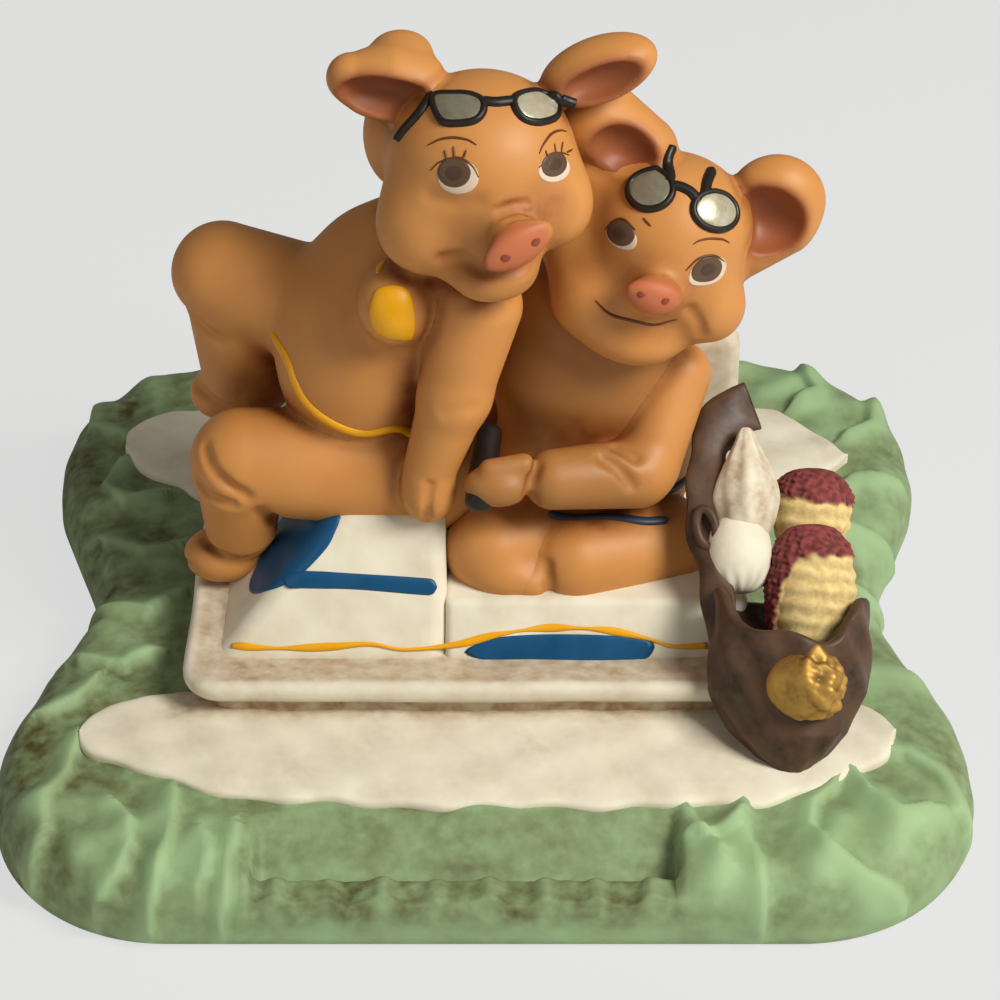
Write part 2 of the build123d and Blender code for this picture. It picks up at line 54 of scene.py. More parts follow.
def srgb(red, green, blue):
    """A paint colour, given as it looks on a screen from 0 to 255, as linear light."""
    share = np.array([red, green, blue]) / 255
    light = np.where(share > 0.04045, ((share + 0.055) / 1.055) ** 2.4, share / 12.92)
    return tuple(float(x) for x in light)


def paint_colour(name, description, red, green, blue):
    """A colour setting of the figurine."""
    return bpy.props.FloatVectorProperty(
        name=name,
        description=description,
        subtype="COLOR",
        size=3,
        min=0.0,
        max=1.0,
        default=srgb(red, green, blue),
    )


def small_length(name, description, millimetres):
    """A length setting of the figurine."""
    return bpy.props.FloatProperty(
        name=name,
        description=description,
        subtype="DISTANCE",
        unit="LENGTH",
        precision=5,
        min=0.0,
        default=millimetres * MM,
    )


class FigurineColours(bpy.types.PropertyGroup):
    """Paint colours of the figurine."""

    skin: paint_colour("Skin", "Flesh paint of both pigs", 200, 138, 74)
    # The skin wash colour is also the brown of the painted shade in the skin's hollows and on its
    # undersides.
    skin_wash_and_shade: paint_colour("Skin wash", "Brown that lies in the skin's creases", 128, 64, 22)
    pink: paint_colour("Pink", "Snouts and insides of the ears", 184, 96, 66)
    sea: paint_colour("Sea", "Green paint of the water", 156, 188, 140)
    # The sea wash colour is also the olive of the painted shade in the water's hollows and over its left
    # part.
    sea_wash_and_shade: paint_colour("Sea wash", "Olive that lies in the water's hollows", 78, 70, 26)
    white: paint_colour("White", "Paint of the craft and the foam", 232, 228, 208)
    # The white wash colour is also the brown of the painted shade low on the craft, beside the hull on
    # the foam and in the white towel's folds.
    white_wash_and_shade: paint_colour("White wash", "Brown wash on the white paint", 158, 126, 88)
    blue: paint_colour("Blue", "Stripes on the craft", 8, 78, 122)
    yellow: paint_colour("Yellow", "Swimwear and coach line", 236, 170, 8)
    navy: paint_colour("Navy", "Waistband of the trunks", 42, 52, 70)
    black: paint_colour("Black", "Glasses and grip", 30, 24, 19)
    lens: paint_colour("Lens", "Silver paint of the lenses", 176, 172, 150)
    eye_white: paint_colour("Eye white", "Dim white of the eyes", 216, 198, 176)
    iris: paint_colour("Iris", "Brown of the eyes", 90, 68, 52)
    pupil: paint_colour("Pupil", "Dark middle of the eyes", 74, 54, 42)
    nostril: paint_colour("Nostril", "Dark red of the nostrils", 138, 66, 46)
    lash: paint_colour("Lash", "Brown of the lashes and brows", 98, 56, 22)
    brown: paint_colour("Brown", "Leather paint of the bag", 96, 70, 52)
    # The brown wash colour also gives the bag an uneven tone, and is the dark of the painted shade in
    # the clasp's dents and the towels' grooves.
    brown_wash_and_shade: paint_colour("Brown wash", "Dark brown in the bag's folds", 44, 30, 20)
    gold: paint_colour("Gold", "Paint of the clasp", 190, 150, 76)
    cream: paint_colour("Cream", "Plain part of the towels", 236, 214, 150)
    red: paint_colour("Red", "Terry bands of the towels", 150, 72, 74)


class FigurineSizes(bpy.types.PropertyGroup):
    """Sizes of the figurine's sculpting."""

    sculpt_step: small_length("Sculpt step", "Width of the sculpt's facets", 0.5)
    brush_lift: small_length("Brush lift", "Thickness of a painted line", 0.12)
    swirl_height: small_length("Swirl height", "Height of the water's ridges", 1.3)
    hand_waver: small_length("Hand waver", "Unevenness of the hand-made faces", 0.14)


# Sculpt of the pigs: melting width of a piece's own forms, then its forms
FORMS = {
    "girl_torso": (5.0, (
        ("ball", (-17.0, 3.0, 55.0), (13.2, 13.0, 15.5), (0, 18, 0)),
        ("ball", (-8.4, 1.0, 66.2), (11.0, 10.0, 10.0)),
        ("taper", (-8.4, 1.0, 66.2), (-4.7, -2.0, 74.2), 8.0, 7.5),
        ("ball", (-13.4, 4.0, 38.3), (13.0, 11.0, 9.0)),
        ("taper", (-22.0, 8.0, 60.0), (-11.5, 6.0, 69.6), 9.0, 8.6),
        ("ball", (-12.4, -10.0, 71.2), (5.0, 5.4, 5.6)),
        ("ball", (-16.5, 8.0, 68.2), (5.5, 6.0, 5.4)),
    )),
    "girl_left_leg": (1.2, (
        ("taper", (-8.8, -2.6, 37.6), (-35.4, -4.8, 40.8), 9.2, 7.8),
        ("taper", (-36.0, -5.8, 38.0), (-36.4, -4.0, 28.6), 6.4, 5.4),
        ("ball", (-39.6, -3.4, 22.6), (5.8, 4.8, 4.0)),
    )),
    "girl_right_leg": (1.4, (
        ("taper", (-21.4, 9.0, 57.2), (-38.4, 12.0, 62.8), 9.2, 7.6),
        ("taper", (-36.4, 12.6, 58.5), (-35.4, 13.5, 45.0), 7.8, 7.4),
        ("ball", (-40.0, 13.6, 40.6), (4.8, 4.2, 4.2)),
    )),
    "girl_left_arm": (1.6, (
        ("taper", (-1.1, -8.0, 69.6), (-4.1, -11.0, 56.5), 6.6, 5.1),
        ("taper", (-4.1, -11.0, 56.5), (-7.8, -12.0, 44.5), 5.1, 3.8),
        ("ball", (-8.1, -12.2, 40.6), (4.0, 4.2, 4.8)),
    )),
    "girl_right_arm": (1.6, (
        ("taper", (-8.0, 9.0, 69.0), (-9.0, 14.0, 55.0), 6.6, 5.1),
        ("taper", (-9.0, 14.0, 55.0), (-10.0, 11.0, 44.6), 5.0, 3.8),
        ("ball", (-10.0, 11.0, 40.6), (4.0, 4.0, 4.6)),
    )),
    "girl_head": (4.0, (
        ("ball", (-0.2, -4.0, 90.8), (13.0, 12.5, 12.0)),
        ("ball", (-7.5, -9.0, 83.6), (7.2, 7.2, 7.2)),
        ("ball", (9.2, -8.0, 86.0), (5.8, 6.0, 6.0)),
        ("ball", (-11.4, 5.0, 89.5), (5.4, 6.0, 8.0)),
        ("taper", (1.2, -9.0, 85.4), (3.8, -17.4, 86.4), 8.0, 3.2),
        ("ball", (1.2, -14.0, 78.9), (6.0, 5.0, 3.6)),
        ("ball", (2.6, -17.0, 80.6), (3.8, 2.4, 1.7), (0, -20, 10)),
        ("ball", (4.7, -21.0, 87.0), (5.2, 1.2, 2.2), (0, -24, 20)),
    )),
    "girl_right_ear": (1.2, (
        ("ball", (-12.4, -0.6, 100.6), (7.4, 5.6, 5.0), (0, -6, 0)),
        ("taper", (-13.0, -1.0, 101.0), (-17.8, -1.6, 101.8), 5.0, 3.4),
        ("scoop", (-13.0, -7.0, 99.8), (7.6, 6.0, 3.8), (0, 10, 0)),
        ("ball", (-11.2, 3.0, 102.9), (4.4, 4.0, 3.2)),
    )),
    "girl_left_ear": (1.2, (
        ("ball", (15.6, 0.0, 102.1), (8.4, 5.0, 4.4), (0, -22, 0)),
        ("scoop", (16.2, -6.0, 101.9), (6.6, 5.0, 3.0), (0, -22, 0)),
    )),
    "boy_torso": (6.0, (
        ("ball", (15.7, 4.6, 33.4), (15.5, 10.2, 14.0)),
        ("ball", (18.0, 5.0, 46.2), (14.5, 8.6, 11.0)),
        ("taper", (9.5, 5.0, 51.0), (12.0, 5.0, 63.0), 7.8, 7.4),
        ("taper", (18.0, 6.0, 52.0), (23.0, 3.0, 66.0), 9.0, 8.0),
    )),
    "boy_left_arm": (1.4, (
        ("taper", (28.4, 1.4, 52.0), (24.0, -6.2, 41.6), 4.8, 4.8),
        ("taper", (22.4, -8.0, 40.8), (10.0, -12.4, 42.8), 5.2, 4.4),
        ("ball", (2.0, -15.2, 43.8), (4.8, 3.4, 3.0)),
        ("taper", (5.6, -14.2, 46.6), (0.8, -15.2, 46.8), 1.7, 1.3),
    )),
    "boy_right_arm": (1.4, (
        ("taper", (8.4, 6.0, 52.0), (4.0, 14.0, 44.0), 6.4, 6.0),
        ("taper", (4.0, 14.0, 44.0), (3.0, 12.0, 33.0), 6.0, 5.0),
    )),
    "boy_left_leg": (1.6, (
        ("taper", (27.4, -4.8, 25.4), (13.5, -10.4, 26.8), 7.4, 6.8),
        ("ball", (7.4, -13.6, 25.6), (3.2, 3.4, 2.4), (0, 0, -30)),
    )),
    "boy_right_leg": (1.6, (
        ("taper", (11.4, -3.0, 27.0), (1.0, -9.0, 28.0), 8.0, 7.0),
        ("ball", (3.4, -13.0, 26.2), (5.0, 4.0, 3.4)),
    )),
    "boy_head": (4.0, (
        ("ball", (26.0, 1.0, 77.2), (11.6, 11.0, 10.4)),
        ("ball", (16.6, -2.6, 68.0), (7.2, 6.6, 7.0)),
        ("ball", (31.6, -4.6, 67.8), (5.4, 5.4, 5.6)),
        ("ball", (14.8, 4.4, 83.6), (4.4, 4.0, 4.6)),
        ("ball", (13.0, 1.6, 75.0), (5.2, 5.0, 6.0)),
        ("taper", (24.7, -5.0, 72.6), (23.4, -11.4, 73.2), 7.0, 2.4),
        ("ball", (22.2, -5.0, 62.9), (6.5, 5.5, 4.0)),
        ("ball", (23.2, -13.6, 74.8), (3.7, 1.1, 1.8), (8, 18, 4)),
    )),
    "boy_left_ear": (1.2, (
        ("ball", (41.2, 3.0, 79.8), (7.0, 5.0, 7.2)),
        ("taper", (41.6, 2.6, 77.2), (35.4, 1.0, 72.4), 5.4, 4.0),
        ("scoop", (39.6, -3.0, 79.6), (5.8, 5.4, 5.0), (0, 24, 0)),
    )),
    "boy_right_ear": (1.2, (
        ("taper", (15.4, 5.2, 92.2), (22.2, 4.0, 87.6), 6.0, 5.0),
        ("scoop", (19.4, -1.8, 89.6), (5.0, 4.4, 4.2), (0, 30, 0)),
    )),
}
GIRL = [name for name in FORMS if name.startswith("girl")]
BOY = [name for name in FORMS if name.startswith("boy")]

# How pieces of a skin join: melting width between pieces, rim of a scooped hollow, how fast a piece
# sinks where a neighbour covers it, and the depth from which it sinks at full rate
SKIN_MELT = 1.4
SCOOP_RIM = 1.0
SINK_RATE = 0.3
SINK_START = 1.5

# Creases of a piece: the points that one follows, its width and its depth; then how far from the
# surface they are worked out
CREASES = {
    "girl_left_leg": (
        (((-41.2, -9.0, 46.2), (-39.0, -10.6, 43.4), (-34.6, -12.0, 40.0)), 0.8, 1.5),
        (((-42.6, -9.0, 40.4), (-40.0, -11.2, 38.8), (-36.6, -11.6, 38.4)), 0.8, 1.4),
        (((-32.6, -11.4, 36.4), (-31.2, -10.0, 34.0), (-30.6, -8.0, 32.0)), 1.1, 1.0),
        (((-43.0, -5.0, 27.0), (-38.0, -7.4, 26.4), (-33.6, -5.6, 26.6)), 0.8, 0.8),
        (((-46.2, -4.0, 21.8), (-43.6, -6.4, 22.6)), 0.6, 0.6),
    ),
    "girl_right_leg": (
        (((-46.0, 10.0, 58.6), (-43.0, 6.4, 56.4), (-39.0, 5.4, 55.0)), 1.1, 0.9),
        (((-44.0, 11.0, 43.2), (-40.0, 9.6, 42.6), (-36.6, 10.8, 43.2)), 0.8, 0.7),
    ),
    "girl_left_arm": (
        (((-7.7, -16.6, 44.4), (-8.1, -16.8, 41.0), (-8.2, -16.2, 36.6)), 0.55, 1.3),
        (((-1.8, -15.6, 57.6), (-5.2, -16.0, 57.0)), 1.2, 0.35),
    ),
    "girl_head": (
        (((-5.7, -14.0, 82.4), (-2.8, -16.5, 82.4), (-0.1, -18.5, 81.8), (2.7, -19.5, 82.2),
          (5.9, -18.5, 82.2)), 0.8, 1.4),
        (((2.0, -15.6, 89.4), (3.8, -15.6, 90.2), (5.4, -15.2, 90.2)), 0.45, 0.7),
        (((2.6, -17.0, 88.8), (4.6, -17.0, 89.7), (6.4, -16.5, 89.4)), 0.45, 0.7),
        (((3.7, -18.5, 88.4), (5.4, -18.5, 89.2), (7.0, -18.0, 89.0)), 0.45, 0.7),
        (((-6.4, -14.0, 91.0), (-3.4, -15.6, 90.6), (-0.6, -16.2, 91.2)), 1.2, 0.35),
    ),
    "boy_head": (
        (((29.0, -11.2, 69.6), (30.2, -10.0, 67.6), (30.6, -9.4, 66.0)), 0.8, 0.7),
    ),
    "boy_left_arm": (
        (((17.1, -12.0, 46.4), (19.0, -12.2, 44.4), (20.6, -11.6, 42.0)), 0.8, 1.5),
        (((19.2, -9.4, 47.3), (20.4, -10.0, 46.2), (21.6, -10.4, 44.8)), 0.8, 1.4),
        (((6.6, -14.0, 46.0), (6.0, -17.0, 43.6), (7.0, -15.6, 40.4)), 0.7, 1.0),
    ),
    "boy_left_leg": (
        (((8.8, -15.6, 29.6), (9.4, -16.6, 27.4), (9.6, -16.2, 25.2)), 0.8, 1.0),
    ),
}
CREASE_REACH = 4.0

# Creases that are settled on their piece, filled in when a piece is first asked for
PRESSED = {}


def turn_matrix(turn):
    """Turns about X, then Y, then Z, in degrees, as one matrix."""
    x, y, z = np.radians(turn)
    about_x = np.array([[1, 0, 0], [0, np.cos(x), -np.sin(x)], [0, np.sin(x), np.cos(x)]])
    about_y = np.array([[np.cos(y), 0, np.sin(y)], [0, 1, 0], [-np.sin(y), 0, np.cos(y)]])
    about_z = np.array([[np.cos(z), -np.sin(z), 0], [np.sin(z), np.cos(z), 0], [0, 0, 1]])
    return about_z @ about_y @ about_x


def ball(p, centre, radii, turn=(0, 0, 0)):
    """Distance to a stretched ball: with n the length of q over the radii and m that of q over
    their squares, it is about n (n - 1) / m."""
    q = (p - np.array(centre)) @ turn_matrix(turn)
    radii = np.array(radii)
    near = np.linalg.norm(q / radii, axis=-1)
    far = np.linalg.norm(q / radii**2, axis=-1)
    return near * (near - 1) / np.maximum(far, 1e-6)


def along(p, start, end):
    """Share of the way along a straight run that is nearest to each point, and the gap to it."""
    start = np.array(start)
    run = np.array(end) - start
    share = np.clip((p - start) @ run / (run @ run), 0, 1)
    return share, np.linalg.norm(p - start - share[..., None] * run, axis=-1)


def taper(p, start, end, start_radius, end_radius):
    """Distance to a round limb: the gap to its axis, less a radius that changes evenly along it."""
    share, gap = along(p, start, end)
    return gap - start_radius - share * (end_radius - start_radius)


def melt(a, b, width):
    """Two fields run together: the lesser of them, with a rounded fillet of a width between."""
    share = np.clip(0.5 + 0.5 * (b - a) / width, 0, 1)
    return b + (a - b) * share - width * share * (1 - share)


def line_gap(p, points):
    """Distance to a bent line: the least of the gaps to its straight runs."""
    gaps = [along(p, a, b)[1] for a, b in zip(points[:-1], points[1:])]
    return np.min(gaps, axis=0)


def bare_field(p, name):
    """Field of one piece without its creases: its forms melted together, its hollows scooped out."""
    width, forms = FORMS[name]
    field = None
    for kind, *numbers in forms:
        if kind == "scoop":
            field = -melt(-field, ball(p, *numbers), SCOOP_RIM)
            continue
        form = ball(p, *numbers) if kind == "ball" else taper(p, *numbers)
        field = form if field is None else melt(field, form, width)
    return field


def own_field(p, name):
    """Field of one piece: its bare form, with each crease pressed in by a bell curve of the distance
    to the crease's line, which is settled on the form first."""
    field = bare_field(p, name)
    if name in CREASES and name not in PRESSED:
        PRESSED[name] = [
            (settle(lambda q: bare_field(q, name), np.array(points), 5)[0], breadth, depth)
            for points, breadth, depth in CREASES[name]
        ]
    near = np.abs(field) < CREASE_REACH
    if name in CREASES and near.any():
        close = p[near]
        for points, breadth, depth in PRESSED[name]:
            field[near] += depth * np.exp(-((line_gap(close, points) / breadth) ** 2))
    return field


def reach_of(name):
    """Lowest and highest corner of a piece's forms."""
    low = []
    high = []
    for kind, *numbers in FORMS[name][1]:
        if kind == "ball":
            low.append(np.array(numbers[0]) - max(numbers[1]))
            high.append(np.array(numbers[0]) + max(numbers[1]))
        if kind == "taper":
            low += [np.array(numbers[0]) - numbers[2], np.array(numbers[1]) - numbers[3]]
            high += [np.array(numbers[0]) + numbers[2], np.array(numbers[1]) + numbers[3]]
    return np.min(low, axis=0), np.max(high, axis=0)


def neighbours(name, group, margin):
    """Pieces of a group whose reach comes within a margin of one piece's reach."""
    low, high = reach_of(name)
    found = []
    for other in group:
        other_low, other_high = reach_of(other)
        if np.all(other_low - margin < high) and np.all(other_high + margin > low):
            found.append(other)
    return found


def skin_field(p, names):
    """Field of several pieces melted into one skin."""
    field = own_field(p, names[0])
    for name in names[1:]:
        field = melt(field, own_field(p, name), SKIN_MELT)
    return field


def piece_field(p, name, names):
    """Field of one piece of a skin: the skin itself where the piece is nearest, and the piece's
    own form, sunk inside its neighbours, everywhere else."""
    own = own_field(p, name)
    others = [own_field(p, other) for other in names if other != name]
    if not others:
        return own
    skin = own
    for other in others:
        skin = melt(skin, other, SKIN_MELT)
    over = np.maximum(own - np.min(others, axis=0), 0)
    return skin + np.maximum(SINK_RATE * over, over - SINK_START)


def gradient(field, points, step=0.05):
    """Slope of a field by central differences."""
    axes = np.eye(3) * step
    slopes = [field(points + axis) - field(points - axis) for axis in axes]
    return np.stack(slopes, -1) / (2 * step)


def settle(field, points, steps=2, lift=0.0):
    """Points moved down a field's slope on to its surface, or a lift above it, and the way out."""
    for _ in range(steps):
        slope = gradient(field, points)
        size = np.maximum((slope**2).sum(-1, keepdims=True), 0.05)
        points = points - (field(points) - lift)[:, None] * slope / size
    slope = gradient(field, points)
    return points, slope / np.maximum(np.linalg.norm(slope, axis=-1, keepdims=True), 1e-9)


def skinned(field, low, high, step):
    """Surface of a field on a box of cells: one point in each cell that the surface crosses, at the
    mean of its edge crossings, and one face round each crossed edge."""
    count = np.ceil((high - low) / step).astype(int) + 1
    x, y, z = (low[i] + step * np.arange(count[i]) for i in range(3))
    layers = []
    for part in np.array_split(x, max(1, len(x) // 12)):
        layers.append(field(np.stack(np.meshgrid(part, y, z, indexing="ij"), -1)))
    values = np.concatenate(layers)
    inside = values < 0
    corners = [(i, j, k) for i in (0, 1) for j in (0, 1) for k in (0, 1)]

    def shifted(array, corner):
        return array[tuple(slice(corner[i], count[i] - 1 + corner[i]) for i in range(3))]

    filled = sum(shifted(inside, corner).astype(np.int8) for corner in corners)
    cells = (filled > 0) & (filled < 8)
    where = np.argwhere(cells)
    number = np.full(cells.shape, -1)
    number[cells] = np.arange(len(where))
    total = np.zeros((len(where), 3))
    hits = np.zeros((len(where), 1))
    for corner in corners:
        for axis in range(3):
            if corner[axis]:
                continue
            far = tuple(1 if i == axis else corner[i] for i in range(3))
            start = shifted(values, corner)[cells]
            end = shifted(values, far)[cells]
            crossed = (start < 0) != (end < 0)
            place = np.tile(np.array(corner, float), (len(where), 1))
            place[:, axis] += np.where(crossed, start / np.where(crossed, start - end, 1), 0)
            total += place * crossed[:, None]
            hits += crossed[:, None]
    points = low + step * (where + total / np.maximum(hits, 1))
    faces = []
    for axis in range(3):
        second, third = (axis + 1) % 3, (axis + 2) % 3
        near = np.take(inside, range(count[axis] - 1), axis)
        away = np.take(inside, range(1, count[axis]), axis)
        edge = np.argwhere(near != away)
        whole = (edge[:, second] > 0) & (edge[:, second] < count[second] - 1)
        whole &= (edge[:, third] > 0) & (edge[:, third] < count[third] - 1)
        edge = edge[whole]
        ring = []
        for back, side in ((1, 1), (0, 1), (0, 0), (1, 0)):
            cell = edge.copy()
            cell[:, second] -= back
            cell[:, third] -= side
            ring.append(number[tuple(cell.T)])
        quad = np.stack(ring, 1)
        outward = near[tuple(edge.T)]
        faces.append(np.where(outward[:, None], quad, quad[:, ::-1]))
    return points, [np.concatenate(faces)]


def crevice(field, points, out):
    """How far each point lies in a hollow: the share of four short steps outwards that other
    surfaces take up."""
    depth = 0
    for step in (0.8, 2.0, 4.5, 9.0):
        depth = depth + np.clip((step - field(points + step * out)) / step, 0, 1) / 4
    return depth


def waver(p, size, seed=0):
    """Slow unevenness from about -1 to 1: a mean of four sine waves in fixed directions."""
    ways = np.array([[1.0, 0.3, -0.4], [-0.5, 1.1, 0.6], [0.4, -0.7, 1.2], [1.3, 0.9, 0.5]])
    phase = np.array([0.3, 1.9, 4.1, 5.3]) + 1.7 * seed
    return np.sin(p @ (ways.T * (2 * np.pi / size)) + phase).mean(-1)


def circle(count):
    """Angles in even steps round a full turn."""
    return np.linspace(0, 2 * np.pi, count, endpoint=False)


def shrunk(outline, share):
    """An outline drawn in to a share of its size about its middle, one share or one for each axis."""
    outline = np.array(outline)
    middle = outline.mean(0)
    return middle + share * (outline - middle)


def smooth_step(value, low, high):
    """Share from 0 at low to 1 at high, with level ends."""
    share = np.clip((value - low) / (high - low), 0, 1)
    return share * share * (3 - 2 * share)


def smooth_path(points, count, loop=False):
    """A curve through points: cubic pieces whose slope at each point is half the step between its
    neighbours, sampled evenly."""
    points = np.array(points, float)
    if loop:
        ends = np.concatenate([points[-1:], points, points[:2]])
    else:
        ends = np.concatenate([[2 * points[0] - points[1]], points, [2 * points[-1] - points[-2]]])
    runs = len(ends) - 3
    t = np.linspace(0, runs, 16 * runs + 1)
    i = np.minimum(t.astype(int), runs - 1)
    s = (t - i)[:, None]
    a, b, c, d = ends[i], ends[i + 1], ends[i + 2], ends[i + 3]
    curve = b + 0.5 * s * (c - a + s * (2 * a - 5 * b + 4 * c - d + s * (3 * (b - c) + d - a)))
    if loop:
        return even_path(curve, count + 1)[:-1]
    return even_path(curve, count)


def even_path(curve, count):
    """Points at even distances along a line of points."""
    lengths = np.concatenate([[0], np.cumsum(np.linalg.norm(np.diff(curve, axis=0), axis=1))])
    wanted = np.linspace(0, lengths[-1], count)
    return np.stack([np.interp(wanted, lengths, column) for column in curve.T], -1)


def unit(vectors):
    """Vectors of length one."""
    return vectors / np.maximum(np.linalg.norm(vectors, axis=-1, keepdims=True), 1e-9)


def closed_grid(points):
    """A grid of points whose columns wrap round and whose first and last rows close on their
    middle points, as flat points and faces."""
    rows, columns = points.shape[:2]
    index = np.arange(rows * columns).reshape(rows, columns)
    beside = np.roll(index, -1, axis=1)
    quads = np.stack([index[:-1], beside[:-1], beside[1:], index[1:]], -1).reshape(-1, 4)
    first = np.full(columns, rows * columns)
    last = first + 1
    fans = [np.stack([first, beside[0], index[0]], -1), np.stack([last, index[-1], beside[-1]], -1)]
    middles = np.stack([points[0].mean(0), points[-1].mean(0)])
    return np.concatenate([points.reshape(-1, 3), middles]), [quads, np.concatenate(fans)]


def wrapped_grid(points):
    """A grid of points whose rows and columns both wrap round, as flat points and faces."""
    index = np.arange(points.shape[0] * points.shape[1]).reshape(points.shape[:2])
    beside = np.roll(index, -1, axis=1)
    quads = np.stack([index, beside, np.roll(beside, -1, 0), np.roll(index, -1, 0)], -1)
    return points.reshape(-1, 3), [quads.reshape(-1, 4)]


def joined(*shapes):
    """Several closed shapes as one set of points and faces."""
    points = []
    faces = []
    offset = 0
    for shape_points, shape_faces in shapes:
        faces += [group + offset for group in shape_faces]
        points.append(shape_points)
        offset += len(shape_points)
    return np.concatenate(points), faces


def lay_piece(name, points, faces, paint, wash_and_shade, material, slot, nodes=()):
    """Puts points in millimetres, their faces, and for each point a paint colour and a share of
    wash and painted shade into one mesh object that rides on the part."""
    corners = points[np.concatenate([group[:, :3] for group in faces])]
    volume = (corners[:, 0] * np.cross(corners[:, 1], corners[:, 2])).sum()
    if volume < 0:
        faces = [group[:, ::-1] for group in faces]
    sizes = np.concatenate([np.full(len(group), group.shape[1]) for group in faces])
    loops = np.concatenate([group.ravel() for group in faces])
    mesh = bpy.data.meshes.new(name)
    mesh.vertices.add(len(points))
    mesh.vertices.foreach_set("co", (points * MM).astype(np.float32).ravel())
    mesh.loops.add(len(loops))
    mesh.loops.foreach_set("vertex_index", loops.astype(np.int32))
    mesh.polygons.add(len(sizes))
    mesh.polygons.foreach_set("loop_start", (np.cumsum(sizes) - sizes).astype(np.int32))
    mesh.polygons.foreach_set("use_smooth", np.ones(len(sizes), bool))
    mesh.update(calc_edges=True)
    mesh.validate()
    colour = np.empty((len(points), 4), np.float32)
    colour[:, :3] = np.array(paint)
    colour[:, 3] = wash_and_shade
    layer = mesh.color_attributes.new("paint", "FLOAT_COLOR", "POINT")
    layer.data.foreach_set("color", colour.ravel())
    mesh.materials.append(material)
    piece = bpy.data.objects.new(name, mesh)
    bpy.context.scene.collection.objects.link(piece)
    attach(piece, "root")
    if nodes:
        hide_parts(*nodes)
    return piece


def stroke(field, points, half_width, lift, sink=0.35, count=60, loop=False):
    """A painted line on a surface: a flat oval profile carried along a path that is settled on the
    field, as wide as half_width to each side, a lift proud of it and sunk a little into it."""
    path, out = settle(field, smooth_path(points, count, loop), 4)
    if loop:
        ahead = unit(np.roll(path, -1, 0) - np.roll(path, 1, 0))
    else:
        ahead = unit(np.gradient(path, axis=0))
    side = unit(np.cross(out, ahead))
    around = circle(12)
    width = np.broadcast_to(half_width, count)[:, None, None]
    across = side[:, None] * np.cos(around)[None, :, None] * width
    height = np.where(np.sin(around) > 0, lift, sink) * np.sin(around)
    rings = path[:, None] + across + out[:, None] * height[None, :, None]
    return wrapped_grid(rings) if loop else closed_grid(rings)


def brush_width(half_width, count=60, tip=0.25):
    """Half width of a brush line: full in its middle and thin towards both ends."""
    t = np.linspace(0, 1, count)
    return half_width * (tip + (1 - tip) * np.sin(np.pi * t) ** 0.6)


def blunt_width(half_width, count=60, share=0.06):
    """Half width of a filled stripe: full, with ends rounded over a share of its length."""
    t = np.linspace(0, 1, count)
    edge = np.clip(np.minimum(t, 1 - t) / share, 0, 1)
    return half_width * np.sqrt(np.maximum(1 - (1 - edge) ** 2, 0.01))


def oval(left, right, top, bottom, count=48):
    """Outline of an oval patch from the four points at its ends."""
    left, right, top, bottom = (np.array(point, float) for point in (left, right, top, bottom))
    around = circle(count)[:, None]
    middle = (left + right + top + bottom) / 4
    return middle + np.cos(around) * (right - left) / 2 + np.sin(around) * (top - bottom) / 2


def filled(field, outline, lift):
    """A filled patch of paint on a surface: copies of an outline, shrunk towards its middle and
    settled on the field, a lift proud of it, with an edge that rounds off and sinks in."""
    share = np.array([0.12, 0.35, 0.6, 0.8, 0.92, 1.0, 1.0])
    middle = outline.mean(0)
    flat = middle + share[:, None, None] * (outline - middle)
    points, out = settle(field, flat.reshape(-1, 3), 4)
    rise = lift * np.array([1.0, 1.0, 0.97, 0.9, 0.75, 0.45, -2.5])
    points = points.reshape(flat.shape) + out.reshape(flat.shape) * rise[:, None, None]
    return closed_grid(points)


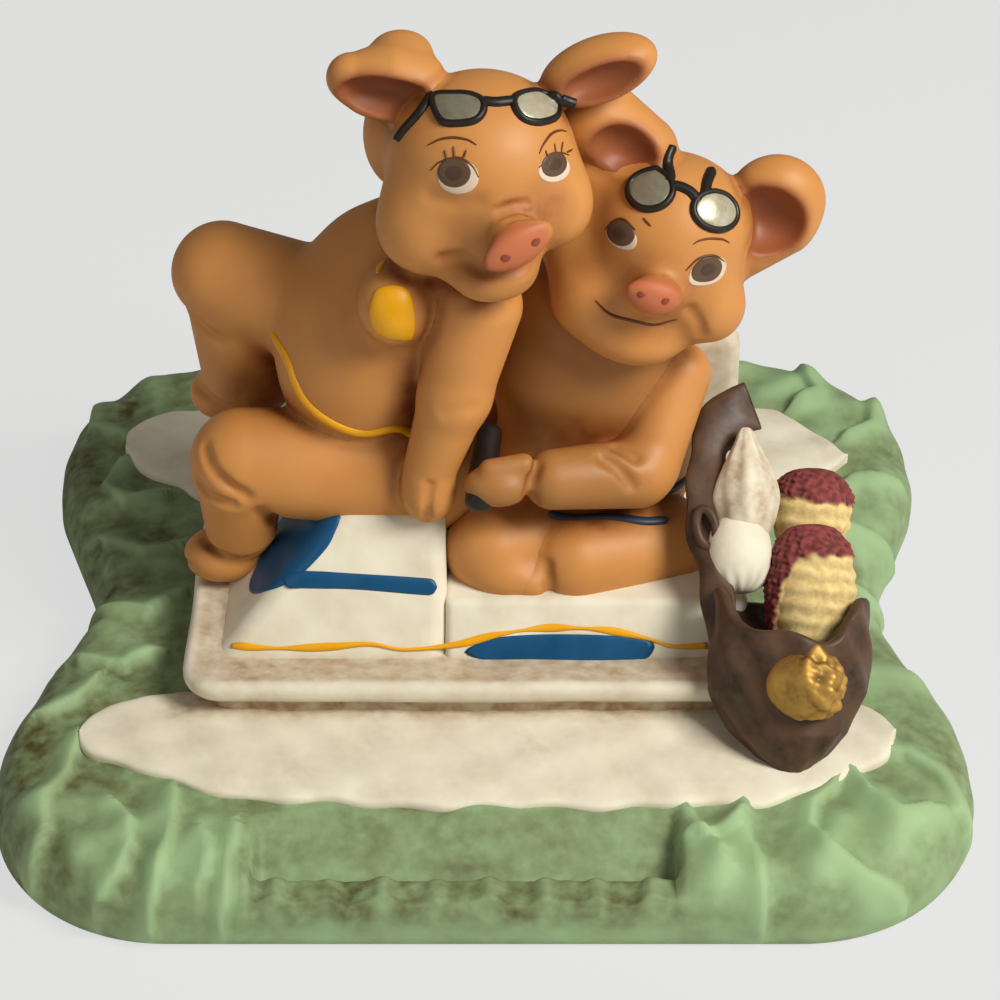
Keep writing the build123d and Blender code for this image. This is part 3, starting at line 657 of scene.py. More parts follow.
def painted(name, wash_and_shade, mottle_size, mottle, roughness, grain_size, grain, metallic=0.0):
    """Brushed paint: the piece's own paint colour, mottled by a soft noise, with a wash and painted
    shade over it where the paint layer asks for it, broken up by a finer noise, and a brush-grain bump."""
    material = bpy.data.materials.new(name)
    material.use_nodes = True
    nodes = material.node_tree.nodes
    links = material.node_tree.links
    shader = nodes["Principled BSDF"]
    shader.inputs["Metallic"].default_value = metallic
    shader.inputs["Specular IOR Level"].default_value = 0.35
    layer = nodes.new("ShaderNodeAttribute")
    layer.attribute_name = "paint"
    place = nodes.new("ShaderNodeTexCoord")

    def noise(size, detail):
        texture = nodes.new("ShaderNodeTexNoise")
        texture.inputs["Scale"].default_value = 1 / (size * MM)
        texture.inputs["Detail"].default_value = detail
        links.new(place.outputs["Object"], texture.inputs["Vector"])
        return texture

    def ranged(source, low, high):
        scale = nodes.new("ShaderNodeMapRange")
        scale.inputs["From Min"].default_value = 0.3
        scale.inputs["From Max"].default_value = 0.7
        scale.inputs["To Min"].default_value = low
        scale.inputs["To Max"].default_value = high
        links.new(source, scale.inputs["Value"])
        return scale.outputs["Result"]

    def mix(kind, factor, first, second):
        blend = nodes.new("ShaderNodeMix")
        blend.data_type = "RGBA"
        blend.blend_type = kind
        for socket, value in zip(("Factor", "A", "B"), (factor, first, second)):
            place_in = [s for s in blend.inputs if s.name == socket and s.enabled][0]
            if isinstance(value, bpy.types.NodeSocket):
                links.new(value, place_in)
            else:
                place_in.default_value = value
        return [s for s in blend.outputs if s.enabled][0]

    soft = noise(mottle_size, 3.0)
    shades = nodes.new("ShaderNodeCombineColor")
    for channel, tone in zip(("Red", "Green", "Blue"), (0.7, 1.0, 1.25)):
        links.new(ranged(soft.outputs["Fac"], 1 - mottle * tone, 1.0), shades.inputs[channel])
    colour = mix("MULTIPLY", 1.0, layer.outputs["Color"], shades.outputs["Color"])
    fine = noise(mottle_size * 0.35, 4.0)
    amount = nodes.new("ShaderNodeMath")
    amount.operation = "MULTIPLY"
    amount.use_clamp = True
    links.new(layer.outputs["Alpha"], amount.inputs[0])
    links.new(ranged(fine.outputs["Fac"], 0.55, 1.25), amount.inputs[1])
    colour = mix("MIX", amount.outputs["Value"], colour, (*wash_and_shade, 1.0))
    links.new(colour, shader.inputs["Base Color"])
    links.new(ranged(soft.outputs["Fac"], roughness - 0.06, roughness + 0.08),
              shader.inputs["Roughness"])
    bump = nodes.new("ShaderNodeBump")
    bump.inputs["Strength"].default_value = grain
    bump.inputs["Distance"].default_value = grain_size * 0.12 * MM
    links.new(noise(grain_size, 3.0).outputs["Fac"], bump.inputs["Height"])
    links.new(bump.outputs["Normal"], shader.inputs["Normal"])
    return material


def coat(name):
    """One of the figurine's paint finishes, made once and shared by its pieces."""
    if name in bpy.data.materials:
        return bpy.data.materials[name]
    hues = bpy.context.scene.figurine_colours
    finishes = {
        "skin_paint": (hues.skin_wash_and_shade, 9.0, 0.10, 0.5, 1.1, 0.12, 0.0),
        "water_paint": (hues.sea_wash_and_shade, 7.0, 0.16, 0.62, 1.6, 0.25, 0.0),
        "craft_paint": (hues.white_wash_and_shade, 6.0, 0.10, 0.55, 1.8, 0.22, 0.0),
        "foam_paint": (hues.white_wash_and_shade, 5.0, 0.12, 0.7, 1.4, 0.3, 0.0),
        "stripe_paint": (hues.black, 4.0, 0.14, 0.42, 0.9, 0.15, 0.0),
        "line_paint": (hues.black, 2.0, 0.10, 0.42, 0.6, 0.12, 0.0),
        "lens_paint": (hues.black, 1.6, 0.18, 0.3, 0.8, 0.25, 0.35),
        "leather_paint": (hues.brown_wash_and_shade, 4.0, 0.25, 0.5, 1.2, 0.3, 0.0),
        "gold_paint": (hues.brown_wash_and_shade, 2.0, 0.2, 0.5, 0.6, 0.3, 0.6),
        "towel_paint": (hues.white_wash_and_shade, 3.0, 0.12, 0.72, 0.9, 0.35, 0.0),
        "terry_paint": (hues.brown_wash_and_shade, 1.2, 0.35, 0.85, 0.7, 0.6, 0.0),
    }
    wash_and_shade, *numbers = finishes[name]
    return painted(name, wash_and_shade, *numbers)


def sculpt(name, group):
    """Meshes one piece of a pig's skin and paints it; painted shade in the wash colour darkens its
    hollows and its underside.
    """
    margin = 1.5
    names = neighbours(name, group, margin + 1.0)
    low, high = reach_of(name)

    def field(p):
        return piece_field(p, name, names)

    def whole(p):
        return skin_field(p, names)

    step = bpy.context.scene.figurine_sizes.sculpt_step / MM
    points, faces = skinned(field, low - margin, high + margin, step)
    points, out = settle(field, points, 2)
    # Painted shade: the brown grows where nearby surfaces close round a point, as in an occluded hollow,
    # and a little on faces that look down.
    hollow = crevice(whole, points, out)
    under = np.clip(-out[:, 2], 0, 1)
    wash_and_shade = np.clip(1.4 * (hollow - 0.12) + 0.12 * under, 0, 0.85)
    colour = skin_paint(points, name)
    lay_piece(name, points, faces, colour, wash_and_shade, coat("skin_paint"), "pig_skin", (name,))


def skin_paint(points, name):
    """Flesh colour, turning to pink on a snout's disc and to a darker pink in an ear's hollow, which is
    partly painted shade, and darker on the boy's chest and forearm as a painted shadow."""
    hues = bpy.context.scene.figurine_colours
    colour = np.tile(np.array(hues.skin), (len(points), 1))
    shapes = FORMS[name][1]
    if name.endswith("head"):
        near = ball(points, *shapes[-1][1:])
        front = shapes[-1][1][1] - points[:, 1]
        share = 0.8 * (1 - smooth_step(near, 0.9, 1.6)) * smooth_step(front, -1.4, -0.2)
        colour += share[:, None] * (np.array(hues.pink) - colour)
    # Painted shadow: the boy's chest and forearm are darkened towards the girl, where his head and arm
    # would shade them.
    if name in ("boy_torso", "boy_left_arm"):
        colour *= 1 - 0.34 * (1 - smooth_step(points[:, :1], 19.0, 28.0))
    # The ear's hollow is pink darkened to about half: the pink is the ear's own, the darkening is
    # painted shade.
    if name.endswith("ear"):
        scoops = [shape for shape in shapes if shape[0] == "scoop"]
        near = ball(points, *scoops[0][1:])
        share = 0.95 * (1 - smooth_step(near, -0.6, 2.0))
        colour += share[:, None] * (0.55 * np.array(hues.pink) - colour)
    return colour


class FIGURINE_OT_girl(bpy.types.Operator):
    """Sculpt the girl pig's body, limbs, head and ears"""

    bl_idname = "figurine.girl"
    bl_label = "Girl pig"

    def execute(self, context):
        for name in GIRL:
            sculpt(name, GIRL)
        return {"FINISHED"}


class FIGURINE_OT_boy(bpy.types.Operator):
    """Sculpt the boy pig's body, limbs, head and ears"""

    bl_idname = "figurine.boy"
    bl_label = "Boy pig"

    def execute(self, context):
        for name in BOY:
            sculpt(name, BOY)
        return {"FINISHED"}


def girl_face(p):
    """Field of the girl's head with its ears."""
    return skin_field(p, ["girl_head", "girl_right_ear", "girl_left_ear"])


def boy_face(p):
    """Field of the boy's head with its ears."""
    return skin_field(p, ["boy_head", "boy_right_ear", "boy_left_ear"])


FACES = {"girl": girl_face, "boy": boy_face}


def lay_paint(name, shapes, hue, coat_name, slot, nodes=()):
    """One painted detail of one colour, made of one or more closed shapes."""
    colour = getattr(bpy.context.scene.figurine_colours, hue)
    points, faces = joined(*shapes)
    lay_piece(name, points, faces, colour, 0.0, coat(coat_name), slot, nodes)


class FIGURINE_OT_faces(bpy.types.Operator):
    """Paint the eyes, lids, lashes, brows and nostrils of both pigs, and the boy's mouth"""

    bl_idname = "figurine.faces"
    bl_label = "Faces"

    def execute(self, context):
        lift = context.scene.figurine_sizes.brush_lift / MM
        eyes = {
            "girl_right": (
                ((-6.0, -14.7, 93.8), (-0.5, -15.9, 94.5), (-3.3, -14.6, 96.5),
                 (-3.3, -16.3, 92.0)),
                ((-6.0, -14.5, 94.4), (-1.5, -15.6, 95.0), (-3.7, -14.4, 96.6),
                 (-3.7, -15.9, 92.9)),
            ),
            "girl_left": (
                ((7.4, -13.6, 94.2), (11.7, -10.0, 92.9), (9.7, -10.8, 95.1), (9.7, -12.8, 92.0)),
                ((7.8, -13.1, 94.5), (11.3, -9.9, 93.5), (9.5, -10.8, 95.5), (9.6, -12.5, 92.6)),
            ),
            "boy_right": (
                ((16.8, -5.6, 79.6), (20.9, -8.6, 80.6), (18.7, -6.2, 81.8), (18.9, -8.9, 78.9)),
                ((16.7, -5.7, 80.0), (20.6, -8.3, 81.2), (18.7, -6.2, 82.3), (18.7, -8.5, 79.2)),
            ),
            "boy_left": (
                ((29.0, -11.3, 76.6), (33.8, -7.6, 75.6), (32.0, -8.9, 77.6), (31.9, -10.3, 73.6)),
                ((29.4, -11.1, 76.9), (33.3, -8.0, 75.7), (31.5, -9.2, 77.9), (31.5, -10.2, 74.2)),
            ),
        }
        pupil_share = 0.55
        for name, (white, iris) in eyes.items():
            face = FACES[name.split("_")[0]]
            ring = oval(*iris)
            layers = (
                ("eye_white", "towel_white", oval(*white), 1.0),
                ("iris", "frame_black", ring, 1.6),
                ("pupil", "frame_black", shrunk(ring, pupil_share), 2.0),
            )
            for hue, slot, outline, proud in layers:
                patch = filled(face, outline, proud * lift)
                lay_paint(f"{name}_{hue}", [patch], hue, "line_paint", slot)
        lines = {
            "girl_lids": (0.17, "lash", (
                ((-6.9, -14.0, 94.5), (-5.7, -14.1, 95.8), (-3.3, -14.5, 96.7), (-1.4, -15.3, 95.9),
                 (-0.5, -15.9, 94.5)),
                ((7.5, -13.4, 94.5), (8.5, -12.1, 95.1), (10.4, -10.0, 94.9), (11.6, -8.8, 93.9)),
                ((-4.6, -14.4, 96.0), (-4.85, -14.0, 96.6), (-5.1, -13.5, 97.3)),
                ((-3.7, -14.5, 96.5), (-3.8, -14.1, 97.1), (-3.9, -13.6, 97.9)),
                ((-2.7, -14.7, 96.5), (-2.45, -14.5, 97.0), (-2.2, -14.2, 97.7)),
                ((9.8, -10.7, 95.0), (9.7, -10.4, 95.6), (9.6, -10.0, 96.3)),
                ((10.5, -9.8, 94.9), (10.6, -9.2, 95.3), (10.8, -8.5, 95.8)),
                ((8.7, -11.9, 95.2), (8.55, -11.8, 95.6), (8.4, -11.6, 96.2)),
                ((11.3, -8.9, 94.4), (11.7, -8.2, 94.2), (12.1, -7.4, 94.0)),
            )),
            "girl_brows": (0.2, "lash", (
                ((-7.4, -12.1, 97.2), (-5.7, -12.3, 98.2), (-3.9, -12.7, 98.7), (-2.0, -13.3, 98.7),
                 (-0.8, -13.8, 98.2)),
                ((7.5, -12.4, 96.1), (8.1, -11.3, 96.9), (9.2, -9.3, 97.4), (10.4, -7.4, 96.9),
                 (11.2, -6.3, 96.1)),
            )),
            "girl_nostrils": (0.7, "nostril", (
                ((7.3, -22.6, 88.6), (7.5, -22.5, 88.0), (7.6, -22.4, 87.4)),
                ((3.2, -23.2, 86.8), (3.1, -23.2, 86.3), (3.0, -23.2, 85.8)),
            )),
            "boy_nostrils": (0.6, "nostril", (
                ((21.6, -15.6, 76.3), (21.5, -15.6, 75.8), (21.5, -15.5, 75.3)),
                ((25.0, -15.6, 75.2), (25.1, -15.6, 74.7), (25.1, -15.5, 74.2)),
            )),
            "boy_mouth": (0.26, "lash", (
                ((15.6, -8.6, 70.8), (17.9, -10.6, 68.9), (21.0, -11.6, 67.6), (24.6, -11.8, 67.0),
                 (27.2, -11.0, 67.8)),
            )),
            "boy_lids": (0.2, "lash", (
                ((16.4, -5.5, 80.4), (17.5, -5.8, 82.0), (19.1, -6.4, 82.6), (20.8, -8.0, 81.8)),
                ((28.5, -11.3, 77.2), (30.0, -10.1, 78.2), (31.9, -8.7, 78.0), (33.6, -7.6, 76.4)),
            )),
            "boy_brows": (0.17, "lash", (
                ((29.0, -9.7, 80.4), (29.9, -9.1, 80.7), (31.4, -8.4, 80.6), (33.1, -7.4, 79.9),
                 (34.1, -6.8, 79.0)),
                ((21.8, -7.5, 83.5), (22.3, -8.0, 83.1), (22.9, -8.5, 82.7)),
            )),
        }
        for name, (width, hue, paths) in lines.items():
            face = FACES[name.split("_")[0]]
            shapes = [stroke(face, path, brush_width(width), lift * 1.4) for path in paths]
            lay_paint(name, shapes, hue, "line_paint", "frame_black")
        return {"FINISHED"}


def glasses(prefix, rims, lenses, bars):
    """Frame and lenses of one pair of sunglasses, laid on a head; the left lens is painted darker as
    painted shade and the right lighter as a painted highlight.
    """
    face = FACES[prefix]
    frame_shapes = [stroke(face, rim, 0.55, 0.7, 0.8, 72, loop=True) for rim in rims]
    frame_shapes += [stroke(face, bar, blunt_width(0.8), 0.65, 0.8) for bar in bars]
    name = prefix + "_glasses_frame"
    lay_paint(name, frame_shapes, "black", "line_paint", "frame_black", (name,))
    lens_shapes = [filled(face, lens, 0.5) for lens in lenses]
    points, faces = joined(*lens_shapes)
    # Painted shade on the left lens and a painted highlight on the right one, over an uneven silver.
    shade = np.repeat((0.62, 1.25), [len(shape[0]) for shape in lens_shapes])
    shade = shade * (1 + 0.12 * waver(points, 2.2, 3))
    colour = np.clip(shade[:, None] * np.array(bpy.context.scene.figurine_colours.lens), 0, 0.9)
    name = prefix + "_glasses_lenses"
    lay_piece(name, points, faces, colour, 0.0, coat("lens_paint"), "lens_silver", (name,))


class FIGURINE_OT_glasses(bpy.types.Operator):
    """Lay the sunglasses on both foreheads"""

    bl_idname = "figurine.glasses"
    bl_label = "Sunglasses"

    def execute(self, context):
        right = [(-6.7, -5.2, 101.5), (-3.9, -6.2, 102.1), (-1.5, -7.2, 102.4), (0.0, -8.6, 101.9),
                 (-0.1, -10.8, 100.9), (-1.5, -11.9, 100.0), (-4.5, -11.5, 99.6),
                 (-5.9, -9.8, 100.0)]
        left = [(4.1, -7.4, 101.6), (5.4, -5.4, 101.6), (7.7, -2.7, 100.3), (9.8, -3.4, 100.2),
                (10.6, -3.3, 98.6), (9.8, -6.3, 98.1), (7.6, -9.5, 98.8), (5.5, -10.4, 99.7),
                (4.3, -9.4, 100.8)]
        bars = (
            ((0.0, -8.6, 101.9), (1.9, -8.6, 101.8), (4.1, -7.7, 101.5)),
            ((-6.8, -5.2, 101.5), (-8.8, -7.5, 99.1), (-11.6, -7.5, 95.5)),
            ((10.5, -3.5, 99.5), (12.5, -3.3, 98.6)),
        )
        squeeze = (np.array([1.0, 0.8, 0.8]), np.array([1.0, 0.86, 0.86]))
        rims = [shrunk(rim, share) for rim, share in zip((right, left), squeeze)]
        glasses("girl", rims, [smooth_path(rim, 48, True) for rim in rims], bars)
        rims = (
            oval((19.3, -3.1, 85.7), (26.4, -4.8, 87.1), (23.0, -1.2, 88.1), (22.9, -7.4, 84.2)),
            oval((28.3, -7.3, 84.5), (35.4, -3.3, 82.5), (31.9, -3.8, 85.9), (32.8, -7.3, 80.9)),
        )
        bars = (
            ((26.1, -4.3, 87.3), (27.5, -4.6, 87.1), (28.9, -5.2, 86.4), (29.8, -6.2, 85.4)),
            ((25.5, -4.0, 87.9), (26.0, -1.4, 88.9), (26.7, 1.4, 89.6)),
            ((30.8, -5.0, 85.9), (31.5, -2.6, 87.4), (32.8, 0.6, 88.4)),
        )
        inner = [shrunk(rim, 0.88) for rim in rims]
        glasses("boy", inner, inner, bars)
        return {"FINISHED"}


class FIGURINE_OT_swimwear(bpy.types.Operator):
    """Paint the bikini and the waistband of the trunks"""

    bl_idname = "figurine.swimwear"
    bl_label = "Swimwear"

    def execute(self, context):
        loop = [(-30.3, -4.0, 58.0), (-29.1, -7.0, 55.2), (-26.7, -8.0, 52.5), (-22.5, -9.0, 50.0),
                (-17.4, -9.6, 47.9),
                (-12.2, -9.6, 48.1), (-6.0, -6.0, 47.0), (-2.5, 3.0, 48.0), (-6.0, 12.0, 51.0),
                (-15.0, 16.0, 57.0),
                (-24.0, 14.0, 58.0), (-30.0, 5.0, 58.5)]

        def hips(p):
            return skin_field(p, ["girl_torso", "girl_left_leg"])

        hip = stroke(hips, loop, 0.75, 0.5, 0.6, 160, loop=True)
        lay_paint("girl_waist_string", [hip], "yellow", "stripe_paint", "bikini_yellow",
                  ("girl_waist_string",))

        def chest(p):
            return skin_field(p, ["girl_torso", "girl_left_arm"])

        outline = [(-16.6, -15.0, 76.9), (-15.7, -15.0, 78.3), (-12.9, -15.0, 78.7),
                   (-10.5, -15.0, 78.0), (-9.2, -15.0, 76.1),
                   (-9.0, -15.0, 72.2), (-9.0, -15.0, 69.0), (-9.1, -15.0, 66.6),
                   (-10.2, -15.0, 66.8), (-11.6, -15.0, 67.8),
                   (-13.5, -15.0, 68.6), (-15.2, -15.0, 69.4), (-16.4, -15.0, 72.2)]
        cup = filled(chest, smooth_path(outline, 96, True), 0.35)
        lay_paint("girl_bikini_cup", [cup], "yellow", "stripe_paint", "bikini_yellow",
                  ("girl_bikini_cup",))
        string = [(-17.2, -8.0, 82.6), (-17.1, -9.0, 81.0), (-16.4, -11.0, 79.4)]
        neck = stroke(chest, string, brush_width(0.6), 0.3, 0.5)
        lay_paint("girl_bikini_strings", [neck], "yellow", "stripe_paint", "bikini_yellow")
        around = circle(120)[:, None]
        slant = -0.07
        way = np.concatenate([np.cos(around), np.sin(around), slant * np.cos(around)], 1)
        ring = np.array([15.7, 7.0, 34.2]) + 14.0 * way
        band = stroke(lambda p: own_field(p, "boy_torso"), ring, 0.75, 0.55, 0.6, 120, loop=True)
        front = [(9.6, -9.0, 34.8), (14.0, -9.0, 34.0), (18.2, -8.6, 33.2), (23.1, -8.6, 31.8),
                 (26.6, -7.0, 29.6)]

        def lap(p):
            return skin_field(p, ["boy_torso", "boy_left_leg", "boy_right_leg"])

        waist = stroke(lap, front, blunt_width(0.75), 0.5, 0.6)
        lay_paint("boy_waistband", [band, waist], "navy", "stripe_paint", "trunks_navy",
                  ("boy_waistband",))
        return {"FINISHED"}


# Watercraft: plan of the hull, and the cowl and seat's sides at deck height with what they lean in for
# each millimetre of height
HULL_MIDDLE = -2.0
HULL_HALF_LENGTH = 42.0
HULL_HALF_WIDTH = 30.0
DECK = 18.5
SIDE_AT_DECK = 21.5
SIDE_LEAN = 0.543
BOW_AT_DECK = -38.0
BOW_LEAN = 0.931
STERN = 38.5
CRAFT_CORNER = 2.6


def box_outline(left, right, near, far, corner):
    """Points round a rectangle with rounded corners: quarter circles at the corners, which leave
    straight runs between them. Each number may be an array with one entry for each row."""
    sides = (left, right, near, far, corner)
    left, right, near, far, corner = (np.asarray(side, float)[..., None] for side in sides)
    quarter = np.linspace(0, np.pi / 2, 13)
    turns = (0, np.pi / 2, np.pi, 1.5 * np.pi)
    xs = (right - corner, left + corner, left + corner, right - corner)
    ys = (far - corner, far - corner, near + corner, near + corner)
    x = []
    y = []
    for i in range(4):
        x.append(xs[i] + corner * np.cos(quarter + turns[i]))
        y.append(ys[i] + corner * np.sin(quarter + turns[i]))
        after = (i + 1) % 4
        share = np.linspace(0, 1, 30)[1:-1]
        end_x = xs[i] + corner * np.cos(np.pi / 2 + turns[i])
        end_y = ys[i] + corner * np.sin(np.pi / 2 + turns[i])
        next_x = xs[after] + corner * np.cos(turns[after])
        next_y = ys[after] + corner * np.sin(turns[after])
        x.append(end_x + share * (next_x - end_x))
        y.append(end_y + share * (next_y - end_y))
    return np.concatenate(x, -1), np.concatenate(y, -1)


def moulded(profile, foot, top, corner, rows=90):
    """A block with soft edges: rounded rectangles that follow a profile of height and inset, whose
    left, right, near and far sides run straight from the foot's to the top's, made uneven by a
    slow waver."""
    z, inset = even_path(np.array(profile, float), rows).T
    share = ((z - z.min()) / (z.max() - z.min()))[:, None]
    sides = np.array(foot) + share * (np.array(top) - np.array(foot))
    middle_x = (sides[:, 0] + sides[:, 1]) / 2
    middle_y = (sides[:, 2] + sides[:, 3]) / 2
    least = 0.3
    half_x = np.maximum((sides[:, 1] - sides[:, 0]) / 2 - inset, least)
    half_y = np.maximum((sides[:, 3] - sides[:, 2]) / 2 - inset, least)
    rounded = np.minimum(corner, 0.9 * np.minimum(half_x, half_y))
    left, right = middle_x - half_x, middle_x + half_x
    near, far = middle_y - half_y, middle_y + half_y
    x, y = box_outline(left, right, near, far, rounded)
    points = np.stack([x, y, np.broadcast_to(z[:, None], x.shape)], -1)
    size = bpy.context.scene.figurine_sizes.hand_waver / MM
    drift = np.stack([waver(points, 22.0, seed) for seed in (0, 1, 2)], -1)
    return points + size * drift


def soft_block(low, high, edge, depth):
    """Profile of a plain block: heights and insets up its side, with rounded edges."""
    turn = np.linspace(0, np.pi / 2, 6)
    upper = [(high - edge + edge * np.sin(a), edge - edge * np.cos(a)) for a in turn]
    return [(low, depth), (low, 0.0), *upper, (high, depth)]


class FIGURINE_OT_craft(bpy.types.Operator):
    """Mould the watercraft's hull, cowl, seat and seat back, and its handlebar grip"""

    bl_idname = "figurine.craft"
    bl_label = "Watercraft"

    def execute(self, context):
        hues = context.scene.figurine_colours
        paint = coat("craft_paint")
        hull = [(11.0, 28.0), (11.0, 2.0), (14.2, 1.8), (15.0, 1.2), (15.5, 0.3), (16.2, 0.0),
                (17.4, 0.0),
                (18.1, 0.35), (18.45, 1.2), (17.4, 7.4), (17.2, 28.0)]
        plan = (
            HULL_MIDDLE - HULL_HALF_LENGTH,
            HULL_MIDDLE + HULL_HALF_LENGTH,
            -HULL_HALF_WIDTH,
            HULL_HALF_WIDTH,
        )
        points = moulded(hull, plan, plan, 6.0, 120)
        flat, faces = closed_grid(points)
        # Darker on the deck inside the lip, painted shade on the hull's side below the lip, and an
        # uneven tone.
        along_hull = np.abs(flat[:, 0] - HULL_MIDDLE) - HULL_HALF_LENGTH
        edge = np.maximum(along_hull, np.abs(flat[:, 1]) - HULL_HALF_WIDTH)
        deck = 1 - smooth_step(edge, -2.2, -0.9)
        under = 1 - smooth_step(flat[:, 2], 13.5, 15.6)
        wash_and_shade = 0.2 + 0.4 * deck + 0.3 * under + 0.14 * waver(flat, 17.0)
        lay_piece("hull", flat, faces, hues.white, np.clip(wash_and_shade, 0, 0.85), paint, "craft_white",
                  ("hull",))
        blocks = {
            "cowl": (
                soft_block(16.6, 36.0, 1.0, 8.0),
                (-39.8, -5.6, -22.53, 22.53),
                (-21.7, -5.6, -12, 12),
                2.6,
            ),
            "seat": (
                soft_block(16.6, 25.0, 0.8, 12.0),
                (-5.8, STERN, -22.53, 22.53),
                (-5.8, STERN, -17.97, 17.97),
                1.2,
            ),
            "seat_back": (
                soft_block(24.8, 51.0, 2.2, 2.3),
                (2, STERN, 13, 18),
                (2, STERN, 13, 18),
                2.0,
            ),
        }
        for name, numbers in blocks.items():
            flat, faces = closed_grid(moulded(*numbers))
            # Painted shade at the foot of each block where it meets the deck, with an uneven tone; the
            # seat back, behind the boy, is given painted shade all over.
            low = 0.4 * (1 - smooth_step(flat[:, 2], 16.8, 18.6))
            wash_and_shade = np.clip(0.1 + low + 0.12 * waver(flat, 11.0, 2), 0, 0.8)
            if name == "seat_back":
                wash_and_shade = wash_and_shade + 0.3
            lay_piece(name, flat, faces, hues.white, wash_and_shade, paint, "craft_white", (name,))
        run = unit(np.array([0.1, 0.93, 0.32]))
        start = np.array([-0.8, -18.2, 41.6])
        half = 7.5
        length = np.linspace(0, 2 * half, 40)
        rounding = np.clip((np.abs(length - half) - 6.0) / 1.52, 0, 1)
        reach = 2.1 * np.sqrt(1 - rounding**2)
        around = circle(40)
        side = unit(np.cross(run, np.array([0.0, 0, 1.0])))
        above = np.cross(side, run)
        ring = np.cos(around)[:, None] * side + np.sin(around)[:, None] * above
        points = start + length[:, None, None] * run + reach[:, None, None] * ring
        flat, faces = closed_grid(points)
        lay_piece("handlebar_grip", flat, faces, hues.black, 0.0, coat("line_paint"), "grip_black",
                  ("handlebar_grip",))
        return {"FINISHED"}


def cowl_field(p):
    """Distance to the cowl and seat's sides: a rounded rectangle whose near and far sides, and
    bow, lean in with height."""
    rise = p[..., 2] - DECK
    bow = BOW_AT_DECK + BOW_LEAN * rise
    half_x = (STERN - bow) / 2
    half_y = SIDE_AT_DECK - SIDE_LEAN * rise
    across = np.abs(p[..., 0] - (STERN + bow) / 2) - half_x + CRAFT_CORNER
    away = np.abs(p[..., 1]) - half_y + CRAFT_CORNER
    outside = np.sqrt(np.maximum(across, 0) ** 2 + np.maximum(away, 0) ** 2)
    inside = np.minimum(np.maximum(across, away), 0)
    return 0.85 * (outside + inside - CRAFT_CORNER)


def on_side(points):
    """Points on the craft's near side from places along it and heights above the deck."""
    x, rise = np.array(points, float).T
    return np.stack([x, SIDE_LEAN * rise - SIDE_AT_DECK, DECK + rise], -1)


class FIGURINE_OT_stripes(bpy.types.Operator):
    """Paint the blue and yellow stripes on the craft"""

    bl_idname = "figurine.stripes"
    bl_label = "Stripes"

    def execute(self, context):
        bar = on_side([(-29.9, 9.3), (-19.6, 9.0), (-6.9, 8.2)])
        lozenge = on_side([(-2.9, -0.2), (1.0, 1.5), (6.0, 2.0), (12.0, 2.1), (19.0, 1.9),
                           (24.4, 1.2), (24.8, 0.0),
                           (23.0, -1.3), (16.0, -1.7), (8.0, -1.7), (1.0, -1.4)])
        band = [(-30.2, 0.6, 26.9), (-25.6, -5.6, 31.8), (-21.9, -11.4, 36.0), (-21.6, -12.6, 36.1),
                (-22.4, -14.2, 35.2),
                (-24.1, -16.4, 33.4), (-28.3, -17.4, 28.9), (-32.8, -15.1, 24.1),
                (-34.9, -11.4, 21.8), (-34.2, -6.6, 22.4)]
        shapes = [
            stroke(cowl_field, bar, blunt_width(1.3), 0.3, 0.5),
            filled(cowl_field, smooth_path(lozenge, 72, True), 0.3),
            filled(cowl_field, smooth_path(band, 96, True), 0.3),
        ]
        lay_paint("blue_stripes", shapes, "blue", "stripe_paint", "craft_white")
        coach_line = on_side([(-37.4, 0.7), (-32.2, 0.3), (-27.2, 0.3), (-21.9, 0.5), (-16.8, 0.8),
                              (-11.5, 0.1),
                              (-3.7, 0.8), (1.6, 2.0), (8.9, 2.9), (17.2, 2.7), (24.0, 1.5),
                              (27.7, 0.5), (32.6, 0.6)])
        t = np.linspace(0, 1, 160)
        width = 0.55 * (0.8 + 0.35 * np.sin(31 * t + 2 * np.sin(9 * t)))
        lay_paint("yellow_line", [stroke(cowl_field, coach_line, width, 0.35, 0.5, 160)], "yellow",
                  "stripe_paint",
                  "craft_white")
        return {"FINISHED"}


